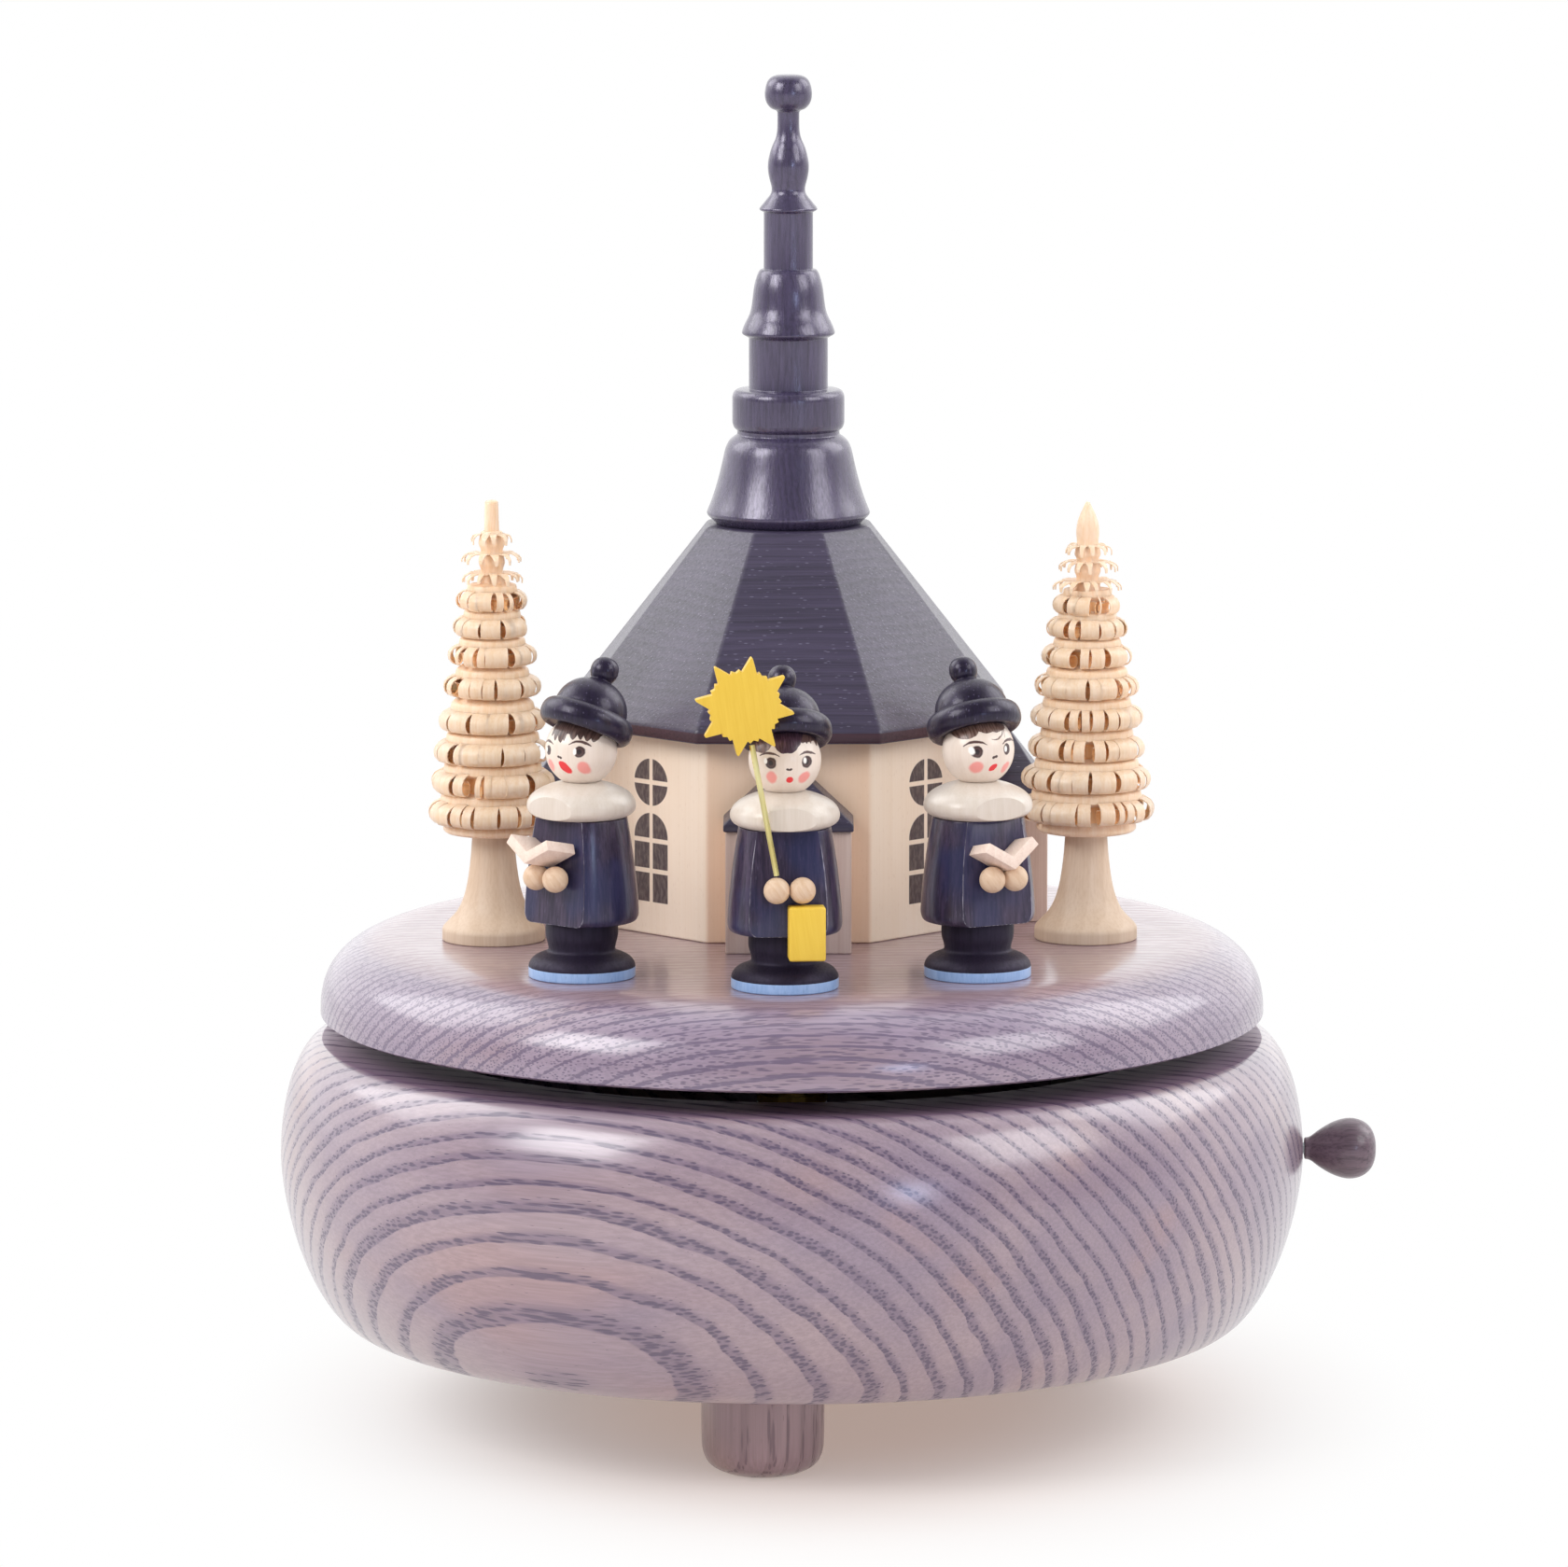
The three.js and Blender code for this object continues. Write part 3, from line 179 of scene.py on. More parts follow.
# Makes a node group of a function that turns the vector and the named numbers into named outputs
def newGroup(build, numbers):
    group = bpy.data.node_groups.new(build.__name__, "ShaderNodeTree")
    add = group.interface.new_socket
    add("Vector", in_out="INPUT", socket_type="NodeSocketVector")
    for label, value in numbers.items():
        add(label, in_out="INPUT", socket_type="NodeSocketFloat").default_value = value
    made = build(*group.nodes.new("NodeGroupInput").outputs[:len(numbers) + 1])
    for label in made:
        add(label, in_out="OUTPUT", socket_type="NodeSocketFloat")
    outlet = group.nodes.new("NodeGroupOutput").inputs
    for label, value in made.items():
        feed(outlet[label], value)
    return group


# The numbers follow the order of the group's own inputs
def useGroup(name, vector, *numbers):
    node = vector.id_data.nodes.new("ShaderNodeGroup")
    node.node_tree = groups[name]
    for socket, value in zip(node.inputs, (vector, *numbers)):
        feed(socket, value)
    return node.outputs


perMetre = (1000, 1000, 1000)


# Growth rings and open pores of ash: the fibres run along X, and the rings follow each other along Y
def ashRings(vector, spacing, waviness, poreWidth, bandShare, strayPores):
    place = stretched(vector, perMetre)
    slow = minus(noise(place, (0.010, 0.022, 0.022)), 0.5)
    quick = minus(noise(place, (0.05, 0.2, 0.2), 3.0), 0.5)
    shifted = plus(plus(split(place)[1], times(slow, waviness)), times(quick, 1.1))
    rings = over(shifted, spacing)
    phase = calc("FRACT", rings)
    year = wire("ShaderNodeTexWhiteNoise", {"W": calc("FLOOR", rings)}, noise_dimensions="1D")
    width = times(bandShare, ramp(year, 0, 1, 0.75, 1.3))
    band = times(fall(over(phase, width), 0.55, 1.25), ramp(phase, 0.0, 0.05))
    cell = over(1.0, poreWidth)
    packed = wire("ShaderNodeCombineXYZ", {0: times(cell, 0.085), 1: cell, 2: cell})
    pores = wire("ShaderNodeTexVoronoi", {"Vector": stretched(place, packed), "Scale": 0.62})
    reach = larger(plus(times(band, 0.42), strayPores), 0.01)
    spots = fall(over(pores, reach), 0.7, 1.25)
    streaks = noise(place, (0.05, 2.4, 2.4), 3.0, 0.65)
    tone = noise(place, (0.010, 0.05, 0.05), 3.0, 0.55)
    return {"Band": band, "Pores": spots, "Streaks": streaks, "Tone": tone,
            "Height": minus(times(streaks, 0.12), spots)}


# Fine straight grain of maple, lime and painted wood: the fibres run along Z
def fineGrain(vector, spacing, fibreLength, waviness):
    place = stretched(vector, perMetre)
    wobble = minus(noise(place, (0.11, 0.11, 0.03)), 0.5)
    shifted = plus(split(place)[0], times(wobble, times(waviness, 10.0)))
    phase = calc("FRACT", over(shifted, spacing))
    fibres = wire("ShaderNodeCombineXYZ", {0: 3.2, 1: 3.2, 2: over(1.0, fibreLength)})
    flecks = wire("ShaderNodeTexVoronoi", {"Vector": stretched(place, (2.6, 2.6, 0.7)), "Scale": 0.8})
    return {"Lines": times(ramp(phase, 0.0, 0.8), fall(phase, 0.86, 1.0)),
            "Streaks": noise(place, fibres, 4.0, 0.62), "Tone": noise(place, (0.16, 0.16, 0.03)),
            "Flecks": fall(flecks, 0.08, 0.22)}


# One brushed dab on a face, in shares of the head's radius
def paintedSpot(vector, centreX, centreY, halfWidth, halfHeight, turn, softness):
    x, y = split(vector)[:2]
    x, y = minus(x, centreX), minus(y, centreY)
    cosine, sine = calc("COSINE", turn), calc("SINE", turn)
    along = over(plus(times(x, cosine), times(y, sine)), halfWidth)
    across = over(minus(times(y, cosine), times(x, sine)), halfHeight)
    return {"Mask": fall(distance(along, across), minus(1.0, softness), plus(1.0, softness))}


# One thin brushed arc, such as a brow; Way is 1 for an arc that points up and -1 for one that hangs
def paintedArc(vector, centreX, centreY, radius, halfWidth, lean, halfSpan, way):
    x, y = split(vector)[:2]
    x, y = minus(x, centreX), times(minus(y, centreY), way)
    off = apart(distance(x, y), radius)
    aside = over(apart(calc("ARCTAN2", x, y), lean), halfSpan)
    thin = times(halfWidth, ramp(aside, 0.2, 1.0, 1.0, 0.35))
    return {"Mask": times(fall(over(off, thin), 0.6, 1.3), fall(aside, 0.93, 1.0))}


# One lock of hair that hangs from High to Low; a small Bluntness makes it square, a large one pointed
def paintedLock(vector, lowX, lowY, highX, highY, halfWidth, bluntness):
    x, y = split(vector)[:2]
    share = smaller(larger(over(minus(y, lowY), minus(highY, lowY)), 0.0), 1.0)
    off = apart(x, plus(lowX, times(minus(highX, lowX), share)))
    half = times(halfWidth, calc("POWER", share, bluntness))
    return {"Mask": times(ramp(minus(half, off), -0.006, 0.012), ramp(share, 0.0, 0.04))}


# Printed church windows: a round one over an arched one, in mm along the wall and up from the plate
def windowPrint(vector, half, roundHeight, archBase, archTop, bar, lowerBar, upperBar):
    u, v = split(vector)[:2]
    u = calc("ABSOLUTE", u)

    def below(value, limit):
        return fall(minus(value, limit), -0.06, 0.06)

    def above(value, limit):
        return minus(1.0, below(value, limit))

    def disc(height):
        return below(distance(u, minus(v, height)), half)

    def gap(height):
        return above(apart(v, height), bar)

    spring = minus(archTop, half)
    pane = times(below(u, half), times(below(v, spring), above(v, archBase)))
    arched = larger(pane, times(disc(spring), above(v, minus(spring, 0.5))))
    arched = times(arched, times(gap(lowerBar), gap(upperBar)))
    rounded = times(disc(roundHeight), gap(roundHeight))
    return {"Mask": times(larger(arched, rounded), above(u, bar))}


groups = {
    "rings": newGroup(ashRings, {"Spacing": 3.0, "Waviness": 2.0, "Pore Width": 0.3, "Band Share": 0.38,
                                 "Stray Pores": 0.1}),
    "grain": newGroup(fineGrain, {"Spacing": 1.2, "Fibre Length": 14.0, "Waviness": 0.5}),
    "spot": newGroup(paintedSpot, {"Centre X": 0.0, "Centre Y": 0.0, "Half Width": 0.1, "Half Height": 0.1,
                                   "Turn": 0.0, "Softness": 0.15}),
    "arc": newGroup(paintedArc, {"Centre X": 0.0, "Centre Y": 0.0, "Radius": 0.3, "Half Width": 0.02,
                                 "Lean": 0.0, "Half Span": 0.7, "Way": 1.0}),
    "lock": newGroup(paintedLock, {"Low X": 0.0, "Low Y": 0.4, "High X": 0.0, "High Y": 0.6,
                                   "Half Width": 0.1, "Bluntness": 0.6}),
    "window": newGroup(windowPrint, {"Half Width": 3.35, "Round Height": 21.8, "Arch Base": 4.7,
                                     "Arch Top": 17.4, "Bar": 0.33, "Lower Bar": 9.15, "Upper Bar": 13.5}),
}


# Finishes

def newFinish(name, settings):
    material = bpy.data.materials.new(name)
    material.use_nodes = True
    shader = material.node_tree.nodes["Principled BSDF"].inputs
    for key, value in settings.items():
        feed(shader[key], value)
    return material, material.node_tree, shader


def onObject(tree):
    return source(tree, "ShaderNodeTexCoord", "Object")


def onPiece(tree, turn, place=(0, 0, 0)):
    return wire("ShaderNodeMapping", {
        "Vector": onObject(tree), "Rotation": tuple(math.radians(angle) for angle in turn),
        "Location": tuple(part * mm for part in place)})


# The turn that brings the fibres onto X and the way the rings follow each other onto Y
def boardTurn(fibre, ringWay):
    along = Vector(fibre).normalized()
    across = Vector(ringWay)
    across = (across - along * across.dot(along)).normalized()
    turn = Matrix((along, across, along.cross(across))).to_euler("XYZ")
    return tuple(math.degrees(angle) for angle in turn)


def bumped(shader, height, strength, depth):
    inputs = {"Height": height, "Strength": strength, "Distance": depth * mm}
    feed(shader["Normal"], wire("ShaderNodeBump", inputs))


bowlBoard = {"fibre": (0.886, -0.464, 0), "ringWay": (0.367, 0.70, 0.612), "shift": 0.5, "spacing": 2.65,
             "waviness": 4.5, "poreWidth": 0.28, "share": 0.42, "stray": 0.07}
ashLooks = {
    "bowl": {**bowlBoard, "light": "#a69299", "tint": "#918091", "band": "#6e5c76", "pore": "#463958",
             "blush": "#a98988", "coat": 1.0},
    "rim": {**bowlBoard, "light": "#8c7387", "tint": "#7c657b", "band": "#6a546d", "pore": "#4a3952",
            "blush": "#917786", "coat": 0.0},
    "plate": {"light": "#9f8ea0", "tint": "#8f7f95", "band": "#8d7c92", "pore": "#584a68",
              "blush": "#9b838a", "sandedAndLitTop": "#a3868a", "sandedAndLitFrom": 66.6, "coat": 1.0, "fibre": (1, 0.05, 0),
              "ringWay": (0, 0.75, 0.66), "shift": 0.4, "spacing": 1.7, "waviness": 2.6, "poreWidth": 0.2,
              "share": 0.3, "stray": 0.36},
    "foot": {"light": "#a98c90", "tint": "#9c8085", "band": "#8f7379", "pore": "#725a63",
             "blush": "#b39584", "coat": 0.8, "fibre": (0, 0, 1), "ringWay": (0.8, 0.6, 0), "shift": 0,
             "spacing": 2.4, "waviness": 2.0, "poreWidth": 0.25, "share": 0.4, "stray": 0.1},
}


# A ramp is (from, to) of the pattern, and then what it gives at both ends where that isn't 0 and 1
ashPaint = {"Roughness": 0.42, "Coat Roughness": 0.2, "Coat IOR": 1.6, "Specular IOR Level": 0.4}
ashShares = {"tint": (0.35, 0.65), "blushScale": (22, 60, 60), "blush": (0.5, 0.75, 0.0, 0.6), "band": 0.6,
             "streak": (0.3, 0.75, 0.88, 1.1), "pore": 0.68, "sandedAndLitTop": 0.65, "roughest": 0.3, "smoothest": 0.36,
             "bump": 0.5, "bumpDepth": 0.12}


def ashFinish(name, look):
    material, tree, shader = newFinish(name, {**ashPaint, "Coat Weight": look["coat"]})
    share = ashShares
    where = onPiece(tree, boardTurn(look["fibre"], look["ringWay"]), (0, look["shift"], 0))
    rings = useGroup("rings", where, look["spacing"], look["waviness"], look["poreWidth"], look["share"],
                     look["stray"])
    colour = mixed(ramp(rings["Tone"], *share["tint"]), look["light"], look["tint"])
    colour = mixed(ramp(noise(where, share["blushScale"]), *share["blush"]), colour, look["blush"])
    colour = mixed(times(rings["Band"], share["band"]), colour, look["band"])
    streak = ramp(rings["Streaks"], *share["streak"])
    grey = wire("ShaderNodeCombineColor", {0: streak, 1: streak, 2: streak})
    colour = mixed(1.0, colour, grey, "MULTIPLY")
    colour = mixed(times(rings["Pores"], share["pore"]), colour, look["pore"])
    # Towards the plate's top the colour turns warmer: partly sanded wood, partly painted light on the top
    if "sandedAndLitFrom" in look:
        height = split(onObject(tree))[2]
        sandedAndLitTop = ramp(height, look["sandedAndLitFrom"] * mm, deckZ * mm, 0.0, share["sandedAndLitTop"])
        colour = mixed(sandedAndLitTop, colour, look["sandedAndLitTop"])
    feed(shader["Base Color"], colour)
    feed(shader["Roughness"], plus(share["smoothest"], times(rings["Pores"], share["roughest"])))
    bumped(shader, rings["Height"], share["bump"], share["bumpDepth"])
    return material


# Painted or plain fine-grained wood. A look gives only what differs from the usual one
usualWood = {"turn": (0, 0, 0), "spacing": 1.3, "length": 9, "waviness": 0.6, "lines": 0.3, "streaks": 0.5,
             "flecks": 0.0, "rough": 0.55, "coat": 0.1, "bump": 0.22, "gloss": "#ffffff", "shine": 0.5,
             "patch": None, "extra": {}}
woodShares = {"streaks": (0.38, 0.7), "tone": (0.35, 0.7), "toneDepth": 0.3, "patchScale": (120, 120, 90),
              "patch": (0.46, 0.64, 0.0, 0.55), "rough": (0.3, 0.75), "bumpDepth": 0.06}
translucent = {"Subsurface Weight": 0.4, "Subsurface Radius": (0.9, 0.95, 1.0), "Subsurface Scale": mm}


def wood(base, dark, **given):
    return {**usualWood, "base": base, "dark": dark, **given}


woodLooks = {
    "porch": wood("#e2ccc1", "#cdb0a3", turn=(0, 0, 10), spacing=1.9, length=30, waviness=0.3, lines=0.25,
        streaks=0.4, flecks=0.06, fleck="#b08f80", coat=0.0),
    "roof": wood("#484058", "#2e283b", turn=(0, 90, 0), spacing=1.4, length=22, waviness=0.3, flecks=0.4,
        fleck="#8a86a0", rough=0.42, coat=0.3, bump=1.2),
    "fascia": wood("#472b38", "#351f2a", turn=(0, 90, 0), spacing=1.4, length=22, waviness=0.3, streaks=0.6,
        flecks=0.1, fleck="#6a5864", rough=0.5),
    "spire": wood("#4c4460", "#2e283e", spacing=1.1, length=4, waviness=0.5, lines=0.25, streaks=0.65,
        flecks=0.05, fleck="#6a6580", rough=0.28, coat=0.4, bump=0.6, gloss="#e8e1f5", shine=1.0),
    "lime": wood("#dcc6b0", "#ceb49a", spacing=2.6, length=16, waviness=0.8, lines=0.35, flecks=0.1,
        fleck="#b08960", coat=0.05),
    "shaving": wood("#f5dbc2", "#ecc9a3", length=3, waviness=0.5, streaks=0.6, rough=0.42,
        extra=translucent),
    # Inside the curls and deep in the slots between them: a lighter, more orange colour, painted glow of the
    # light that shines through the thin shavings
    "paintedCurlGlow": wood("#ffd3a0", "#fbba78", length=3, waviness=0.5, coat=0.0, extra=translucent),
    "leg": wood("#1e1628", "#140e1c", spacing=1.6, length=6, streaks=0.6, flecks=0.05, fleck="#343046",
        coat=0.0, bump=0.5, gloss="#ddd2f2"),
    # The pale finish on the edges of the coat's front flat: partly paint worn through, partly a painted edge
    # highlight
    "worn": wood("#a7a3b4", "#3a3449", spacing=0.9, length=3, lines=0.6, streaks=1.0, flecks=0.3,
        fleck="#e2e0ea", rough=0.4, coat=0.3),
    "coat": wood("#473b51", "#261e31", spacing=1.6, length=10, lines=0.4, streaks=0.9, flecks=0.2,
        fleck="#6a6582", rough=0.34, coat=0.4, gloss="#e4dcf4", patch="#212c55"),
    "hat": wood("#211930", "#130d1d", spacing=1.0, length=2.4, streaks=0.8, flecks=0.45, fleck="#6d6783",
        rough=0.38, coat=0.3, bump=0.7, gloss="#ddd2f2"),
    "disc": wood("#a0bee8", "#86a8d9", spacing=1.5, length=2, lines=0.2, flecks=0.2, fleck="#38527c",
        rough=0.36, coat=0.4),
    "cream": wood("#dbd1c7", "#cfc2b4", spacing=2.2, waviness=0.8, lines=0.25, streaks=0.35, rough=0.36,
        coat=0.35),
    "bead": wood("#dcc2a8", "#cfae8f", turn=(0, 35, 0), spacing=1.1, length=5, waviness=0.5, lines=0.4,
        flecks=0.15, fleck="#a87b54", rough=0.5),
    "book": wood("#f1ddd0", "#e3cabb", turn=(90, 0, 0), waviness=0.3, flecks=0.06, fleck="#b58d6d",
        coat=0.0),
    "yellow": wood("#e6c244", "#dfb839", turn=(0, 8, 0), spacing=1.8, length=6, lines=0.25, flecks=0.04,
        fleck="#c98a10", rough=0.5),
    "knob": wood("#75616d", "#53434e", turn=(0, 90, 0), spacing=1.4, length=8, waviness=0.5, lines=0.35,
        streaks=0.7, flecks=0.08, fleck="#6b565c", rough=0.4, coat=0.35),
}
wallLook = wood("#fbead7", "#f3dec6", turn=(0, 0, 30), spacing=2.4, length=30, waviness=0.35, lines=0.12,
                streaks=0.3, flecks=0.12, fleck="#b98f72", rough=0.5, coat=0.05)
faceLook = wood("#ecdfd4", "#e1d0c1", spacing=2.2, waviness=0.8, lines=0.2, streaks=0.3, rough=0.36,
                coat=0.35)


def woodBase(name, look):
    material, tree, shader = newFinish(name, {
        "Roughness": look["rough"], "Coat Weight": look["coat"], "Coat Roughness": 0.16,
        "Specular Tint": look["gloss"], "Specular IOR Level": look["shine"], **look["extra"]})
    grain = useGroup("grain", onPiece(tree, look["turn"]), look["spacing"], look["length"], look["waviness"])
    share = woodShares
    depth = times(ramp(grain["Streaks"], *share["streaks"]), look["streaks"])
    depth = plus(depth, times(grain["Lines"], look["lines"]))
    depth = plus(depth, times(ramp(grain["Tone"], *share["tone"]), share["toneDepth"]))
    colour = mixed(smaller(depth, 1.0), look["base"], look["dark"])
    if look["flecks"]:
        colour = mixed(times(grain["Flecks"], look["flecks"]), colour, look["fleck"])
    if look["patch"]:
        spread = noise(onObject(tree), share["patchScale"])
        colour = mixed(ramp(spread, *share["patch"]), colour, look["patch"])
    rough = ramp(grain["Streaks"], *share["rough"], look["rough"] - 0.06, look["rough"] + 0.1)
    feed(shader["Roughness"], rough)
    bumped(shader, grain["Streaks"], look["bump"], share["bumpDepth"])
    return material, tree, shader, colour


def woodFinish(name):
    material, _, shader, colour = woodBase(name + "Wood", woodLooks[name])
    feed(shader["Base Color"], colour)
    return material


# Besides its sizes, the church holds the reach and colour of the painted shade on its front and back walls
church = {"x": -0.5, "y": 17.0, "edge": 0.35, "roofEdge": 0.4, "porchEdge": 0.25, "fascia": 2.6,
          "upright": 0.3, "windowMiddle": 0.35, "facet": (11.0, 12.0), "facetColour": "#e4ac7c",
          "printColour": "#43343b"}
planUnit = 100   # mm, so that the windows' plan stays small


def wallFinish():
    material, tree, shader, colour = woodBase("windowWallWood", wallLook)
    plan = stretched(source(tree, "ShaderNodeUVMap", 0, uv_map="wallPlan"), (planUnit, planUnit, 1))
    worn = ramp(noise(onObject(tree), (2600, 2600, 900), 3.0), 0.3, 0.62, 0.88, 0.97)
    # The walls that face front and back, within the first number of mm across from the middle and fading out
    # by the second, are tinted darker and more orange: painted shade with warm bounce light
    off = apart(split(onObject(tree))[0], (axisX + church["x"]) * mm)
    near, far = church["facet"]
    colour = mixed(ramp(off, near * mm, far * mm, 0.4, 0.0), colour, church["facetColour"])
    colour = mixed(times(useGroup("window", plan)["Mask"], worn), colour, church["printColour"])
    feed(shader["Base Color"], colour)
    return material


# Places on a face are in shares of the head's radius. Eyes, glints, cheeks and the mouth are
# (across, up, half width, half height, turn), brows and strands (centre across, centre up, radius, lean,
# half span), and locks (low across, low up, high across, high up, half width, bluntness)
faceLooks = {
    "left": {
        "yaw": -33, "eyes": [(-0.5, 0.06, 0.11, 0.14, 0), (0.515, 0.08, 0.135, 0.155, 0)],
        "glints": [(-0.59, 0.07, 0.03, 0.07, 0), (0.4, 0.085, 0.045, 0.09, 0)],
        "brows": [(-0.53, -0.09, 0.4, -0.05, 0.7), (0.465, -0.036, 0.394, 0.09, 0.79)],
        "nose": [(-0.08, -0.08, 0.05, 0.034, -0.2), (-0.01, -0.1, 0.05, 0.034, -0.2)],
        "mouth": (0.08, -0.37, 0.225, 0.125, -0.74), "notch": None,
        "cheeks": [(-0.45, -0.37, 0.14, 0.18, 0), (0.57, -0.37, 0.14, 0.18, 0)],
        "locks": [(0.16, 0.545, 0.16, 0.6, 0.68, 0.12), (-0.45, 0.43, -0.42, 0.62, 0.09, 0.6),
                  (-0.26, 0.34, -0.3, 0.62, 0.13, 0.55), (-0.05, 0.295, -0.1, 0.62, 0.16, 0.6),
                  (0.055, 0.36, 0.0, 0.62, 0.09, 0.6), (0.3, 0.4, 0.27, 0.62, 0.13, 0.6),
                  (0.5, 0.405, 0.45, 0.62, 0.11, 0.6), (0.66, 0.36, 0.62, 0.62, 0.13, 0.55),
                  (0.79, 0.335, 0.74, 0.62, 0.12, 0.5)],
        "bulges": [], "strands": [], "drop": None, "hair": ("#6c534c", "#44302d"),
    },
    "centre": {
        "yaw": 7, "eyes": [(-0.49, 0.025, 0.14, 0.16, 0), (0.5, 0.04, 0.15, 0.16, 0)],
        "glints": [(-0.625, 0.08, 0.04, 0.075, 0), (0.445, 0.085, 0.05, 0.08, 0)],
        "brows": [(-0.515, -0.12, 0.41, 0, 0.7), (0.52, -0.1, 0.4, 0.05, 0.66)],
        "nose": [(-0.035, -0.145, 0.05, 0.033, -0.3), (0.04, -0.15, 0.05, 0.033, 0.3)],
        "mouth": (0.02, -0.445, 0.095, 0.09, 0), "notch": None,
        "cheeks": [(-0.46, -0.38, 0.13, 0.18, 0.3), (0.43, -0.39, 0.19, 0.13, 0.8)],
        "locks": [(0.62, 0.55, 0.62, 0.6, 0.33, 0.12), (0.53, 0.5, 0.5, 0.65, 0.07, 0.6),
                  (0.65, 0.5, 0.62, 0.65, 0.07, 0.6), (0.83, 0.4, 0.78, 0.65, 0.09, 0.6),
                  (-0.76, 0.27, -0.66, 0.8, 0.38, 0.4)],
        "bulges": [], "strands": [], "drop": (-0.07, 0.28, 0.0, 0.9, 0.5, 0.34),
        "hair": ("#7f625b", "#543c38"),
    },
    "right": {
        "yaw": 23, "eyes": [(-0.44, 0.07, 0.155, 0.168, 0), (0.47, 0.1, 0.12, 0.155, 0)],
        "glints": [(-0.565, 0.1, 0.075, 0.11, 0.2), (0.43, 0.11, 0.05, 0.08, 0)],
        "brows": [(-0.423, -0.086, 0.431, -0.088, 0.77), (0.6, -0.06, 0.405, 0, 0.75)],
        "nose": [(0.03, -0.095, 0.055, 0.036, 0.3), (0.1, -0.075, 0.05, 0.036, 0.3)],
        "mouth": (0.035, -0.386, 0.14, 0.085, 0.6), "notch": (0.14, -0.46, 0.07, 0.05, 0.6),
        "cheeks": [(-0.42, -0.37, 0.17, 0.17, 0), (0.47, -0.42, 0.18, 0.11, 0.9)],
        "locks": [(0.08, 0.6, 0.08, 0.65, 0.5, 0.12), (-0.6, 0.62, -0.6, 0.7, 0.3, 0.2),
                  (0.43, 0.41, 0.5, 0.66, 0.02, 0.3), (0.36, 0.47, 0.47, 0.66, 0.016, 0.3)],
        "bulges": [(-0.6, 0.55, 0.28, 0.13, 0.3), (-0.08, 0.62, 0.17, 0.06, 0), (0.2, 0.62, 0.14, 0.05, 0)],
        "strands": [(0.1, 0.71, 0.32, 0.49, 0.9)], "drop": None, "hair": ("#866b61", "#573e35"),
    },
}


facePaints = {"cheek": "#ee8f88", "eye": "#432e2d", "iris": "#553d3c", "pupil": "#2d2024", "glint": "#fbf8f4",
              "brow": "#563c39", "nose": "#4a3431", "mouth": "#e3262d", "notch": "#ead9c8",
              "drop": ("#3c2431", "#5d4252")}


def faceFinish(side):
    look = faceLooks[side]
    material, tree, shader, colour = woodBase(side + "FacePaint", faceLook)
    plan = source(tree, "ShaderNodeUVMap", 0, uv_map="facePlan")
    wobble = wire("ShaderNodeTexNoise", {"Vector": plan, "Scale": 7.0, "Detail": 2.0}, "Color")
    wobble = wire("ShaderNodeVectorMath", {0: wobble, 1: (0.5, 0.5, 0.5)}, operation="SUBTRACT")
    plan = wire("ShaderNodeVectorMath", {0: plan, 1: stretched(wobble, (0.05, 0.05, 0))})
    layers = []

    def dab(paint, spot, softness=0.12):
        layers.append((useGroup("spot", plan, *spot, softness)["Mask"], paint))

    def stroke(paint, arc, halfWidth, way):
        x, y, radius, lean, span = arc
        layers.append((useGroup("arc", plan, x, y, radius, halfWidth, lean, span, way)["Mask"], paint))

    def hanging(paint, lock):
        layers.append((useGroup("lock", plan, *lock)["Mask"], paint))

    for cheek in look["cheeks"]:
        dab(facePaints["cheek"], cheek, 0.22)
    layers = [(times(mask, 0.9), paint) for mask, paint in layers]
    for eye, glint, brow in zip(look["eyes"], look["glints"], look["brows"]):
        x, y, halfWidth, halfHeight, turn = eye
        dab(facePaints["eye"], eye)
        dab(facePaints["iris"], (x, y - 0.01, halfWidth * 0.72, halfHeight * 0.74, turn), 0.2)
        dab(facePaints["pupil"], (x, y, halfWidth * 0.42, halfHeight * 0.45, turn), 0.25)
        dab(facePaints["glint"], glint, 0.25)
        stroke(facePaints["brow"], brow, 0.036, 1.0)
    for mark in look["nose"]:
        dab(facePaints["nose"], mark, 0.2)
    dab(facePaints["mouth"], look["mouth"])
    if look["notch"]:
        dab(facePaints["notch"], look["notch"])
    strands = noise(plan, (24, 3, 1))
    brown = mixed(ramp(strands, 0.35, 0.62), *look["hair"])
    for lock in look["locks"]:
        hanging(brown, lock)
    for bulge in look["bulges"]:
        dab(brown, bulge, 0.06)
    for strand in look["strands"]:
        stroke(brown, strand, 0.022, -1.0)
    if look["drop"]:
        hanging(mixed(ramp(strands, 0.4, 0.7), *facePaints["drop"]), look["drop"])
    for mask, paint in layers:
        colour = mixed(mask, colour, paint)
    feed(shader["Base Color"], colour)
    return material


metalLooks = {
    "brass": {"base": "#c9a352", "worn": "#a67f35", "rough": 0.3, "brushed": (60, 60, 900)},
    "pole": {"base": "#f3e9ae", "worn": "#d9c67c", "rough": 0.3, "brushed": (900, 900, 60)},
    "steel": {"base": "#b4b6ba", "worn": "#8d9095", "rough": 0.34, "brushed": (60, 900, 900)},
    "castMetal": {"base": "#8d8d8b", "worn": "#6f6f6d", "rough": 0.55, "brushed": (500, 500, 500)},
}


